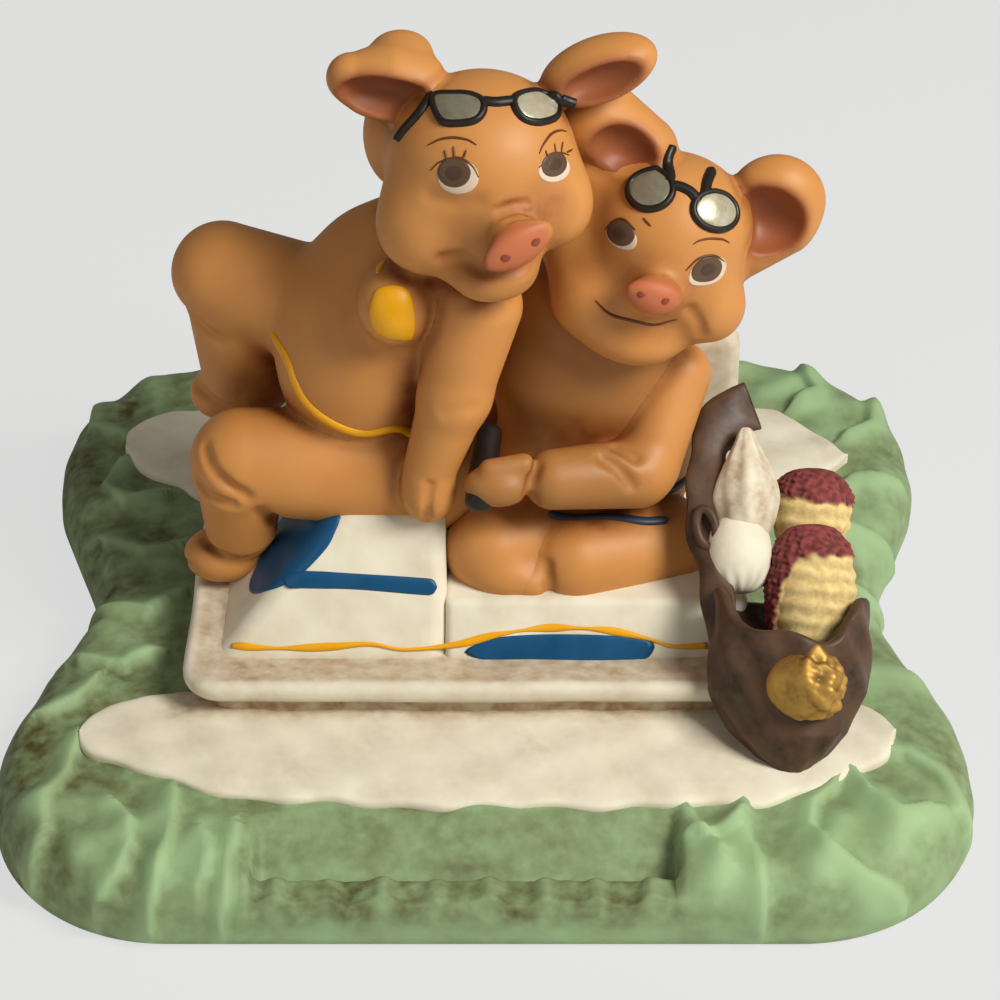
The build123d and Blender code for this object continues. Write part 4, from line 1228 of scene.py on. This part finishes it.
# Folds that are pressed into the water, in plan: each falls steeply on the left of its way
WATER_FOLDS = (
    ((-58.6, -32.7), (-59.4, -40.6), (-61.9, -46.5), (-60.9, -51.5), (-62.4, -58.0)),
    ((-51.5, -47.8), (-49.4, -51.5), (-48.8, -55.6), (-49.9, -59.6), (-51.9, -61.5)),
    ((-43.6, -44.6), (-43.3, -50.5), (-44.0, -56.6), (-45.0, -62.5)),
    ((-38.6, -53.9), (-37.8, -57.2), (-38.3, -60.3)),
    ((-34.3, -51.7), (-34.7, -56.6), (-35.2, -62.7)),
    ((37.0, -47.0), (36.2, -52.0), (38.0, -58.0), (38.6, -63.0)),
    ((49.6, -43.4), (46.4, -47.0), (45.4, -52.6), (47.8, -56.4), (52.4, -59.4), (58.2, -60.4)),
    ((52.8, -40.2), (54.6, -45.8), (58.4, -49.4), (62.4, -47.6)),
    ((67.0, -46.2), (64.8, -40.6), (60.6, -36.4), (55.4, -35.4)),
    ((29.0, -48.6), (29.8, -53.0), (33.0, -57.0)),
    ((36.0, -51.4), (33.4, -53.4), (30.4, -53.8)),
    ((-57.6, -20.0), (-60.0, -24.6), (-64.6, -28.0)),
    ((-50.0, -14.0), (-54.6, -16.6), (-60.4, -15.4)),
    ((-47.0, 0.0), (-52.0, -4.0), (-58.0, -2.6)),
    ((-48.0, 13.0), (-53.6, 11.0), (-60.0, 15.6)),
    ((-52.0, 26.0), (-58.0, 23.6), (-62.0, 30.0), (-60.0, 36.0)),
    ((-62.0, 44.0), (-66.0, 47.0), (-66.0, 54.0)),
    ((52.0, 14.0), (56.6, 18.0), (63.0, 17.4)),
    ((50.0, 1.0), (55.0, 5.0), (60.0, 2.6)),
    ((55.0, 26.0), (60.0, 32.0), (66.0, 32.4)),
    ((60.0, 44.0), (64.6, 48.0), (65.0, 55.0)),
    ((52.0, 53.0), (56.0, 57.0), (54.0, 64.0)),
)

# Swells that run out over the base's rim: the plan of their inner and outer ends
WATER_SWELLS = (
    (-39.3, -50.8, -43.8, -59.8), (36.0, -50.8, 31.5, -59.8), (49.7, -50.3, 46.1, -59.7),
    (55.8, -45.2, 57.8, -55.0),
    (52.9, -17.3, 62.9, -18.5), (47.9, -1.6, 57.7, -3.8), (51.9, 20.7, 58.8, 13.4),
    (54.2, 53.6, 64.3, 53.5),
    (47.3, 57.6, 55.9, 62.8), (39.3, 57.3, 43.8, 66.3), (24.2, 57.3, 28.7, 66.3),
    (9.2, 57.3, 13.7, 66.3),
    (-5.9, 57.3, -1.4, 66.3), (-20.9, 57.3, -16.4, 66.3), (-36.0, 57.3, -31.5, 66.3),
    (-49.7, 56.8, -46.1, 66.2),
    (-55.8, 51.7, -57.8, 61.5), (-53.0, 23.8, -63.0, 25.0), (-48.0, 8.3, -57.9, 10.4),
    (-51.7, -14.2, -58.6, -6.9),
    (-54.2, -47.1, -64.3, -47.0), (-47.3, -51.1, -55.9, -56.3),
)


def rounded_outline(corners, rounds, count):
    """Outline of a polygon whose corners are arcs that touch both their sides, in even steps."""
    corners = np.array(corners, float)
    before = unit(np.roll(corners, 1, 0) - corners)
    after = unit(np.roll(corners, -1, 0) - corners)
    half = np.arccos((before * after).sum(1)) / 2
    rounds = np.array(rounds)
    reach = (rounds / np.tan(half))[:, None]
    middle = corners + unit(before + after) * (rounds / np.sin(half))[:, None]
    start = (corners + before * reach - middle)[:, None]
    end = (corners + after * reach - middle)[:, None]
    angle = (np.pi - 2 * half)[:, None, None]
    share = np.linspace(0, 1, 24)[None, :, None]
    bent = np.sin((1 - share) * angle) * start + np.sin(share * angle) * end
    arcs = middle[:, None] + bent / np.sin(angle)
    return even_path(np.concatenate([arcs.reshape(-1, 2), arcs[0, :1]]), count + 1)[:-1]


def fold_height(flat, points, height):
    """Height of one fold of water: a crest along a line that falls off steeply on the left of the
    line's way and gently on its right."""
    best = np.full(flat.shape[:-1], 99.0)
    left = np.zeros(flat.shape[:-1], bool)
    for start, end in zip(points[:-1], points[1:]):
        gap = along(flat, start, end)[1]
        run = np.array(end) - np.array(start)
        off = flat - np.array(start)
        side = run[0] * off[..., 1] - run[1] * off[..., 0] > 0
        left = np.where(gap < best, side, left)
        best = np.minimum(gap, best)
    return height * np.exp(-((best / np.where(left, 0.7, 2.6)) ** 2))


def water_relief(points):
    """Height of the water's hand-pressed forms: the crests of its folds, the round swells, and a slow
    unevenness."""
    flat = points[..., :2]
    relief = 0.35 * waver(points, 27.0, 3) + 0.2 * waver(points, 11.0, 4)
    for fold in WATER_FOLDS:
        relief = relief + fold_height(flat, fold, 1.2)
    for inner_x, inner_y, outer_x, outer_y in WATER_SWELLS:
        gap = along(flat, (inner_x, inner_y), (outer_x, outer_y))[1]
        relief = relief + 0.75 * np.exp(-((gap / 2.6) ** 2))
    return relief


class FIGURINE_OT_water(bpy.types.Operator):
    """Sculpt the base of green water with its plaque"""

    bl_idname = "figurine.water"
    bl_label = "Water base"

    def execute(self, context):
        height = context.scene.figurine_sizes.swirl_height / MM
        hues = context.scene.figurine_colours
        columns = 640
        top = 11.0
        rim_round = 7.0
        corners = ((-70.8, -64.0), (70.8, -64.0), (70.8, -28.0), (59.5, 3.0), (70.8, 34.0),
                   (70.8, 70.5),
                   (-70.8, 70.5), (-70.8, 34.0), (-59.5, 3.0), (-70.8, -28.0))
        rounds = (27.0, 27.0, 30.0, 25.0, 30.0, 27.0, 27.0, 30.0, 25.0, 30.0)
        rim = rounded_outline(corners, rounds, columns)
        ahead = unit(np.roll(rim, -1, 0) - np.roll(rim, 1, 0))
        inward = np.stack([-ahead[:, 1], ahead[:, 0]], -1)
        turn = np.linspace(0, np.pi / 2, 26)
        profile = np.concatenate([
            np.stack([[0.0, 0.0, 0.4, 1.2, 2.0, 3.0], [12.0, 1.2, 0.35, 0.0, 0.0, 0.0]], -1),
            np.stack([4.0 + rim_round * np.sin(turn), rim_round - rim_round * np.cos(turn)], -1),
            np.stack([np.full(12, top), np.linspace(7.4, 12.0, 12)], -1),
        ])
        near = rim + profile[:, 1, None, None] * inward
        share = np.concatenate([np.linspace(0.0, 0.45, 60), np.linspace(0.5, 0.97, 8)])[:, None,
                                                                                        None]
        points = np.concatenate([(1 - share[::-6]) * near[0], near, (1 - share[1:]) * near[-1]])
        z = np.concatenate([np.zeros(len(share[::-6])), profile[:, 0],
                            np.full(len(share) - 1, top)])
        points = np.concatenate([points, np.broadcast_to(z[:, None, None], (*points.shape[:2], 1))],
                                -1)
        around = np.roll(points, -1, 1) - np.roll(points, 1, 1)
        out = unit(np.cross(around, np.gradient(points, axis=0)))
        x, y = points[..., 0], points[..., 1]
        raised = smooth_step(z, 0.6, 4.0)[:, None]
        window = smooth_step(x, -32.6, -31.4) * (1 - smooth_step(x, 26.4, 27.6))
        window = window * (1 - smooth_step(y, -48.6, -47.4))
        panel = window * smooth_step(y, -59.2, -57.6)
        relief = water_relief(points) * (1 - window)
        wave = 0.5 + 0.3 * np.sin(0.83 * x + 0.8) + 0.2 * np.sin(0.49 * x + 2.0)
        wave = wave + 0.15 * np.sin(1.71 * x)
        lumps = window * (1 - smooth_step(y, -58.6, -57.8)) * smooth_step(z, 3.0, 6.0)[:, None]
        points = points + (height * raised * relief)[..., None] * out
        plaque_slope = 0.625
        plaque_top = -48.0
        sunk = top + plaque_slope * (y - plaque_top)
        lip = 7.0 + 1.5 * wave
        points[..., 2] += panel * (np.minimum(points[..., 2], sunk) - points[..., 2])
        points[..., 2] += lumps * (np.minimum(points[..., 2], lip) - points[..., 2])
        flat, faces = closed_grid(points)
        # Wash and painted shade of the water: darker in the hollows between crests, between the plaque's
        # lumps and over the left part, all painted shade; lighter towards the foot, a little darker on
        # the plaque, with an uneven tone.
        low = 1 - smooth_step(points[..., 2], 2.0, 7.0)
        wash_and_shade = 0.44 - 0.5 * relief - 0.25 * low + 0.05 * panel
        wash_and_shade = wash_and_shade + 0.12 * waver(points, 15.0, 6) + 0.35 * lumps * (1 - wave)
        # Painted shade over the left part of the base.
        wash_and_shade = wash_and_shade + 0.3 * smooth_step(-x, 30.0, 62.0)
        wash_and_shade = np.append(np.clip(wash_and_shade, 0.03, 0.85).ravel(), [0.3, 0.3])
        lay_piece("water_base", flat, faces, hues.sea, wash_and_shade, coat("water_paint"), "water_green",
                  ("water_base",))
        return {"FINISHED"}


class FIGURINE_OT_foam(bpy.types.Operator):
    """Spread the foam of the wake along both sides of the hull"""

    bl_idname = "figurine.foam"
    bl_label = "Foam"

    def execute(self, context):
        leaves = {
            "front_foam": (
                ((-58.6, -32.6), (-58.1, -34.8), (-55.1, -37.6), (-47.6, -41.0), (-39.4, -44.4),
                 (-25.8, -46.6), (-11.7, -47.4), (2.3, -47.8),
                 (16.3, -47.6), (30.4, -47.6), (39.5, -47.2), (44.7, -45.0), (52.0, -42.0),
                 (58.0, -37.3), (59.6, -32.8)),
                ((-58.6, -32.6), (-58.2, -30.4), (-56.6, -27.8), (-52.2, -25.0), (-44.0, -23.0),
                 (-20.0, -24.0), (0.0, -24.0), (20.0, -24.0),
                 (40.0, -23.0), (52.0, -24.6), (57.6, -28.0), (59.6, -32.8))),
            "rear_foam": (
                ((-59.6, 39.0), (-59.4, 45.0), (-55.0, 49.6), (-48.0, 51.6), (-30.0, 51.0),
                 (-10.0, 51.6), (10.0, 51.0),
                 (30.0, 52.0), (46.0, 51.8), (51.1, 48.8), (56.0, 43.0), (59.6, 37.0)),
                ((-59.6, 39.0), (-57.0, 34.0), (-50.0, 29.0), (-42.0, 24.0), (-20.0, 24.0),
                 (0.0, 24.0), (20.0, 24.0),
                 (40.0, 24.0), (50.0, 30.0), (56.0, 33.4), (59.6, 37.0))),
        }
        rise = 1.9
        sink = -0.8
        foot = 10.9
        turn = circle(48)
        across = (1 - np.cos(turn)) / 2
        height = np.where(turn <= np.pi, rise, sink) * np.abs(np.sin(turn)) ** 0.45
        for name, (outer, inner) in leaves.items():
            start = smooth_path(outer, 300)
            end = smooth_path(inner, 300)
            scallop = 0.35 * np.sin(np.linspace(0, 74, 300))
            scallop = scallop + 0.3 * np.sin(np.linspace(0, 31, 300) + 1)
            start = start + unit(start - end) * scallop[:, None]
            plan = start[:, None] + across[None, :, None] * (end - start)[:, None]
            up = np.broadcast_to(height, plan.shape[:2])
            points = np.concatenate([plan, foot + up[..., None]], -1)
            ripple = 0.28 * waver(points, 9.0, 5) + 0.2 * waver(points, 21.0, 6)
            points[..., 2] += np.where(up > 0, ripple, 0)
            flat, faces = closed_grid(points)
            # Painted shade on the foam next to the hull, with an uneven tone.
            along_hull = np.abs(flat[:, 0] - HULL_MIDDLE) - HULL_HALF_LENGTH
            hull_gap = np.maximum(along_hull, np.abs(flat[:, 1]) - HULL_HALF_WIDTH + 2)
            wash_and_shade = 0.12 + 0.45 * (1 - smooth_step(hull_gap, 0.0, 3.5)) + 0.16 * waver(flat, 12.0, 7)
            lay_piece(name, flat, faces, context.scene.figurine_colours.white,
                      np.clip(wash_and_shade, 0.02, 0.8),
                      coat("foam_paint"), "foam_white", (name,))
        return {"FINISHED"}


# Beach bag: the middle of its mouth's height, and its three ways, of which up leans away
BAG_MIDDLE = np.array([43.9, -28.0, 21.5])
BAG_SIDE = np.array([1.0, 0.0, 0.0])
BAG_UP = np.array([0.0, 0.574, 0.819])
BAG_FRONT = np.array([0.0, -0.819, 0.574])
BAG_TIP = -15.8


def bag_wall(turn, rise):
    """Point of the bag's outer wall: an oval that narrows to a point at the bottom, which swings out to
    the front, with folds that run up it. turn goes round from the right over the front, rise from
    the tip to the mouth."""
    rises = [BAG_TIP, -15.2, -13.1, -9.9, -3.9, 2.0, 9.0]
    fill = np.interp(rise, rises, [0.05, 0.2, 0.46, 0.74, 1.0, 1.0, 0.98])
    fold = 1 + 0.03 * np.sin(5 * turn + 0.3 * rise) + 0.02 * np.sin(11 * turn - 0.5 * rise)
    wide = 11.5 * fill * fold
    deep = 10.6 * fill * fold
    swing = 4.6 * np.clip((-rise - 4.0) / 11.8, 0, 1) ** 2
    return (BAG_MIDDLE + (wide * np.cos(turn))[..., None] * BAG_SIDE
            + (deep * np.sin(turn) + swing)[..., None] * BAG_FRONT + rise[..., None] * BAG_UP)


class FIGURINE_OT_bag(bpy.types.Operator):
    """Model the open beach bag, its flap and its crumpled clasp"""

    bl_idname = "figurine.bag"
    bl_label = "Beach bag"

    def execute(self, context):
        hues = context.scene.figurine_colours
        turn = circle(160)
        front = np.clip(np.sin(turn), 0, 1)
        mouth = 7.6 - 3.0 * front**1.5 + 0.9 * np.cos(turn) + 0.4 * np.sin(5 * turn)
        mouth = mouth - 2.4 * np.exp(-(((turn - 1.15) / 0.4) ** 2))
        mouth = mouth + 3.4 * np.exp(-(((turn - 2.9) / 0.45) ** 2))
        up = np.linspace(0, 1, 90)[:, None]
        outer = bag_wall(turn + 0 * up, BAG_TIP + up * (mouth - BAG_TIP))
        axis = BAG_MIDDLE + (outer @ BAG_UP - BAG_MIDDLE @ BAG_UP)[..., None] * BAG_UP
        lip = np.linspace(0, np.pi, 9)[1:-1, None, None]
        inward = unit(axis[-1] - outer[-1])
        edge = outer[-1] + 0.8 * ((1 - np.cos(lip)) * inward + np.sin(lip) * BAG_UP)
        down = np.linspace(0, 1, 24)[:, None, None]
        inner = outer[-1] + 1.6 * inward + down * 5.0 * inward - down * (mouth[:,
                                                                               None] - 1.0) * BAG_UP
        points = np.concatenate([outer, edge, inner])
        flat, faces = closed_grid(points)
        fold = 0.45 + 0.5 * waver(flat, 8.0, 1)
        lay_piece("beach_bag", flat, faces, hues.brown, np.clip(fold, 0, 0.9),
                  coat("leather_paint"),
                  "bag_brown", ("beach_bag",))
        path = smooth_path([(37.0, -29.5, 22.0), (34.6, -25.5, 26.1), (33.0, -18.5, 31.7),
                            (32.6, -11.0, 37.4),
                            (33.0, -4.5, 42.4), (35.0, -1.0, 44.5), (37.7, 1.0, 45.7),
                            (39.4, 2.0, 45.8)], 110)
        ahead = unit(np.gradient(path, axis=0))
        t = np.linspace(0, 1, 110)
        side = unit(np.stack([0.8 - 0.2 * t, -0.55 + 0.1 * t, 0.2 - 0.9 * t], -1))
        out = unit(np.cross(side, ahead))
        side = np.cross(ahead, out)
        around = circle(40)
        wide = (2.3 + 1.3 * t + 0.4 * np.sin(15 * t) + 0.3 * np.sin(31 * t))[:, None, None]
        thick = (1.0 + 0.3 * np.sin(23 * t))[:, None, None]
        cosine, sine = (np.sign(wave) * np.abs(wave) ** 0.7 for wave in (np.cos(around),
                                                                         np.sin(around)))
        curl = 0.6 * np.sin(13 * t)[:, None, None] * (cosine**2)[None, :, None]
        sheet = (path[:, None] + wide * cosine[None, :, None] * side[:, None]
                 + (thick * sine[None, :, None] + curl) * out[:, None])
        level = np.cos(around)[:, None] * np.array([0.55, -0.3, -0.2])
        upright = np.sin(around)[:, None] * np.array([0.0, 0.6, 0.8])
        loop = np.array([32.2, -15.0, 36.0]) + 2.6 * (level + upright)
        ahead = unit(np.roll(loop, -1, 0) - np.roll(loop, 1, 0))
        over = unit(np.cross(ahead, np.array([0.6, -0.6, 0.5])))
        beside = np.cross(over, ahead)
        profile = np.cos(around)[None, :, None] * over[:, None]
        profile = profile + np.sin(around)[None, :, None] * beside[:, None]
        ring = loop[:, None] + 0.7 * profile
        flat, faces = joined(closed_grid(sheet), wrapped_grid(ring))
        fold = np.clip(0.4 + 0.5 * waver(flat, 7.0, 2), 0, 0.9)
        lay_piece("bag_flap", flat, faces, hues.brown, fold, coat("leather_paint"), "bag_brown",
                  ("bag_flap",))
        rows = np.linspace(0, np.pi, 60)[:, None]
        around = circle(90)
        ball_way = np.stack(
            [np.sin(rows) * np.cos(around), np.cos(rows) + 0 * around,
             np.sin(rows) * np.sin(around)], -1
        )
        lumpy = smooth_step(ball_way[..., 0], -0.5, 0.5)
        crumple = 1 + 0.1 * waver(ball_way, 1.9, 3) + 0.2 * lumpy * waver(ball_way, 0.9, 1)
        crumple = crumple + 0.12 * lumpy * waver(ball_way, 0.5, 2)
        centre = BAG_MIDDLE + 1.4 * BAG_SIDE + 10.2 * BAG_FRONT - 2.5 * BAG_UP
        size = np.array([5.3, 3.0, 5.0])
        local = crumple[..., None] * ball_way * size
        points = centre + local[..., :1] * BAG_SIDE + local[..., 1:2] * BAG_FRONT
        points = points + local[..., 2:] * BAG_UP
        flat, faces = closed_grid(points)
        # Painted shade in the clasp's dents, where its crumpled surface sinks in.
        depth = np.append((1.0 - crumple.ravel()) * 3.0 + 0.2, [0.2, 0.2])
        lay_piece("bag_clasp", flat, faces, hues.gold, np.clip(depth, 0, 0.9), coat("gold_paint"),
                  "clasp_gold", ("bag_clasp",))
        return {"FINISHED"}


def loaf(around, height, centre, half_length, half_width, half_depth, reach):
    """A rolled towel: ovals across a leaning axis, whose reach shrinks to both ends. around is the turn
    round the axis and height the place along it from -1 to 1."""
    up = np.array([0.0, 0.669, 0.743])
    front = np.array([0.0, -0.743, 0.669])
    reach = reach * np.sqrt(np.maximum(1 - height**2, 0)) ** 0.7
    points = np.array(centre) + (reach * half_width * np.cos(around))[...,
                                                                      None] * np.array([1.0, 0, 0])
    points = points + (reach * half_depth * np.sin(around))[..., None] * front
    return points + (half_length * height)[..., None] * up


class FIGURINE_OT_towels(bpy.types.Operator):
    """Roll the striped towels and the white towel into the bag"""

    bl_idname = "figurine.towels"
    bl_label = "Towels"

    def execute(self, context):
        hues = context.scene.figurine_colours
        cream = np.array(hues.cream)
        red = np.array(hues.red)
        rows = np.linspace(0, np.pi, 130)[:, None]
        around = circle(180)[None] + 0 * rows
        height = -np.cos(rows) + 0 * around
        left = np.clip(-np.cos(around), 0, 1)
        rolls = {
            "striped_towel": ((47.6, -20.0, 28.0), 10.0, 6.4, 5.6, 0.5 - 1.3 * left**3),
            "rolled_towel": ((48.0, -9.0, 34.5), 6.4, 5.9, 5.4, 0.1 + 0.3 * left),
        }
        for name, (centre, half_length, half_width, half_depth, edge) in rolls.items():
            smooth = loaf(around, height, centre, half_length, half_width, half_depth, 1.0)
            ragged = edge + 0.06 * waver(smooth, 3.0, 4)
            terry = smooth_step(height, ragged - 0.05, ragged + 0.05)
            ply = np.sin(2.6 * half_length * height + 1.4 * np.sin(around + 1) + 0.8 * waver(smooth,
                                                                                             7.0))
            stirred = smooth + 0.9 * waver(smooth, 4.1, 6)[..., None]
            knots = waver(stirred, 1.9, 1) + 0.8 * waver(smooth[..., ::-1], 1.37, 2)
            reach = 1 + (1 - terry) * 0.022 * ply + terry * (0.075 + 0.06 * knots)
            points = loaf(around, height, centre, half_length, half_width, half_depth, reach)
            flat, faces = closed_grid(points)
            share = np.append(terry.ravel(), [0.0, 1.0])[:, None]
            # Painted shade in the grooves of the plain cloth and in the dips between the terry's knots,
            # lighter on their crests.
            dip = 0.12 - (1 - terry) * 0.14 * ply + terry * (0.2 - 0.5 * knots)
            dip = np.append(dip.ravel(), [0.2, 0.2])
            lay_piece(name, flat, faces, cream + share * (red - cream), np.clip(dip, 0, 0.75),
                      coat("terry_paint"),
                      "towel_cream", (name,))
        slim = 1 - 0.55 * np.clip(height + 0.2, 0, 1) ** 1.2
        pleat = 0.05 * np.sin(5 * around + 2.4 * height) + 0.03 * np.sin(9 * around - 1.5 * height)
        upper = loaf(around, height, (38.2, -9.6, 39.4), 8.8, 4.8, 4.0, slim * (1 + pleat))
        hem = 0.04 * np.sin(13 * around) * (1 - smooth_step(height, -0.9, -0.3))
        lower = loaf(around, height, (37.0, -16.2, 32.2), 5.8, 4.8, 4.6,
                     1 + hem + 0.02 * np.sin(3 * around))
        flat, faces = joined(closed_grid(upper), closed_grid(lower))
        # Painted shade over the upper towel and in its pleats, with an uneven tone, and in the hollows
        # of the lower towel's hem.
        upper_shade = np.clip(0.4 - 2.0 * pleat + 0.25 * waver(upper, 6.0, 2), 0, 0.75)
        upper_shade = np.append(upper_shade.ravel(), [0.4, 0.3])
        lower_shade = np.append(np.clip(0.04 - 2.0 * hem, 0, 0.3).ravel(), [0.1, 0.05])
        lay_piece("white_towel", flat, faces, hues.white, np.concatenate([upper_shade, lower_shade]),
                  coat("towel_paint"),
                  "towel_white", ("white_towel",))
        return {"FINISHED"}


def lamp(name, place, aim, size, power, colour):
    """A square soft lamp at a place, turned towards a point."""
    light = bpy.data.lights.new(name, "AREA")
    light.size = size
    light.energy = power
    light.color = colour
    holder = bpy.data.objects.new(name, light)
    holder.location = place
    holder.rotation_euler = (Vector(aim) - Vector(place)).to_track_quat("-Z", "Y").to_euler()
    bpy.context.scene.collection.objects.link(holder)


class FIGURINE_OT_stage(bpy.types.Operator):
    """Set the pale floor, the soft studio light and the camera"""

    bl_idname = "figurine.stage"
    bl_label = "Stage"

    def execute(self, context):
        scene = context.scene
        reach = 6.0
        corners = [(-reach, -reach, 0), (reach, -reach, 0), (reach, reach, 0), (-reach, reach, 0)]
        mesh = bpy.data.meshes.new("floor")
        mesh.from_pydata(corners, [], [(0, 1, 2, 3)])
        floor = bpy.data.objects.new("floor", mesh)
        scene.collection.objects.link(floor)
        pale = bpy.data.materials.new("pale_floor")
        pale.use_nodes = True
        nodes = pale.node_tree.nodes
        links = pale.node_tree.links
        nodes.remove(nodes["Principled BSDF"])
        matte = nodes.new("ShaderNodeBsdfDiffuse")
        matte.inputs["Color"].default_value = (0.75, 0.75, 0.75, 1)
        glow = nodes.new("ShaderNodeEmission")
        glow.inputs["Color"].default_value = (0.782, 0.782, 0.782, 1)
        seen = nodes.new("ShaderNodeLightPath")
        share = nodes.new("ShaderNodeMapRange")
        share.inputs["To Max"].default_value = 0.85
        links.new(seen.outputs["Is Camera Ray"], share.inputs["Value"])
        blend = nodes.new("ShaderNodeMixShader")
        links.new(share.outputs["Result"], blend.inputs["Fac"])
        links.new(matte.outputs["BSDF"], blend.inputs[1])
        links.new(glow.outputs["Emission"], blend.inputs[2])
        links.new(blend.outputs["Shader"], nodes["Material Output"].inputs["Surface"])
        mesh.materials.append(pale)
        sky = bpy.data.worlds.new("studio")
        scene.world = sky
        sky.use_nodes = True
        nodes = sky.node_tree.nodes
        links = sky.node_tree.links
        back = nodes["Background"]
        back.inputs["Color"].default_value = (1.0, 0.985, 0.96, 1)
        rays = nodes.new("ShaderNodeLightPath")
        level = nodes.new("ShaderNodeMapRange")
        level.inputs["To Min"].default_value = 0.18
        level.inputs["To Max"].default_value = 0.78
        links.new(rays.outputs["Is Camera Ray"], level.inputs["Value"])
        links.new(level.outputs["Result"], back.inputs["Strength"])
        lamp("key", (0.40, -0.27, 0.52), (0, 0, 0.04), 0.26, 5.1, (1.0, 0.97, 0.91))
        lamp("fill", (-0.45, -0.40, 0.30), (0, 0, 0.05), 0.4, 0.55, (1.0, 0.9, 0.78))
        scene.view_settings.view_transform = "Standard"
        camera = bpy.data.cameras.new("camera")
        camera.sensor_width = 36.0
        camera.lens = 101.7
        eye = bpy.data.objects.new("camera", camera)
        eye.location = (0.0023, -0.3438, 0.2799)
        tip = 54.0
        eye.rotation_euler = (np.radians(tip), 0, 0)
        scene.collection.objects.link(eye)
        scene.camera = eye
        return {"FINISHED"}


STEPS = (
    FIGURINE_OT_water,
    FIGURINE_OT_foam,
    FIGURINE_OT_craft,
    FIGURINE_OT_stripes,
    FIGURINE_OT_girl,
    FIGURINE_OT_boy,
    FIGURINE_OT_faces,
    FIGURINE_OT_glasses,
    FIGURINE_OT_swimwear,
    FIGURINE_OT_bag,
    FIGURINE_OT_towels,
    FIGURINE_OT_stage,
)


class FIGURINE_PT_panel(bpy.types.Panel):
    """Lists the steps that build the figurine"""

    bl_idname = "FIGURINE_PT_panel"
    bl_label = "Pig pair figurine"
    bl_space_type = "VIEW_3D"
    bl_region_type = "UI"
    bl_category = "Figurine"

    def draw(self, context):
        for group in (context.scene.figurine_colours, context.scene.figurine_sizes):
            for setting in group.bl_rna.properties:
                if setting.identifier not in ("rna_type", "name"):
                    self.layout.prop(group, setting.identifier)
        for step in STEPS:
            self.layout.operator(step.bl_idname)


CLASSES = (FigurineColours, FigurineSizes, *STEPS, FIGURINE_PT_panel)


def register():
    for item in CLASSES:
        bpy.utils.register_class(item)
    bpy.types.Scene.figurine_colours = bpy.props.PointerProperty(type=FigurineColours)
    bpy.types.Scene.figurine_sizes = bpy.props.PointerProperty(type=FigurineSizes)


def unregister():
    del bpy.types.Scene.figurine_sizes
    del bpy.types.Scene.figurine_colours
    for item in reversed(CLASSES):
        bpy.utils.unregister_class(item)


def main():
    """Builds the figurine and its stage."""
    register()
    for step in STEPS:
        group, name = step.bl_idname.split(".")
        getattr(getattr(bpy.ops, group), name)()


if __name__ == "__main__":
    main()
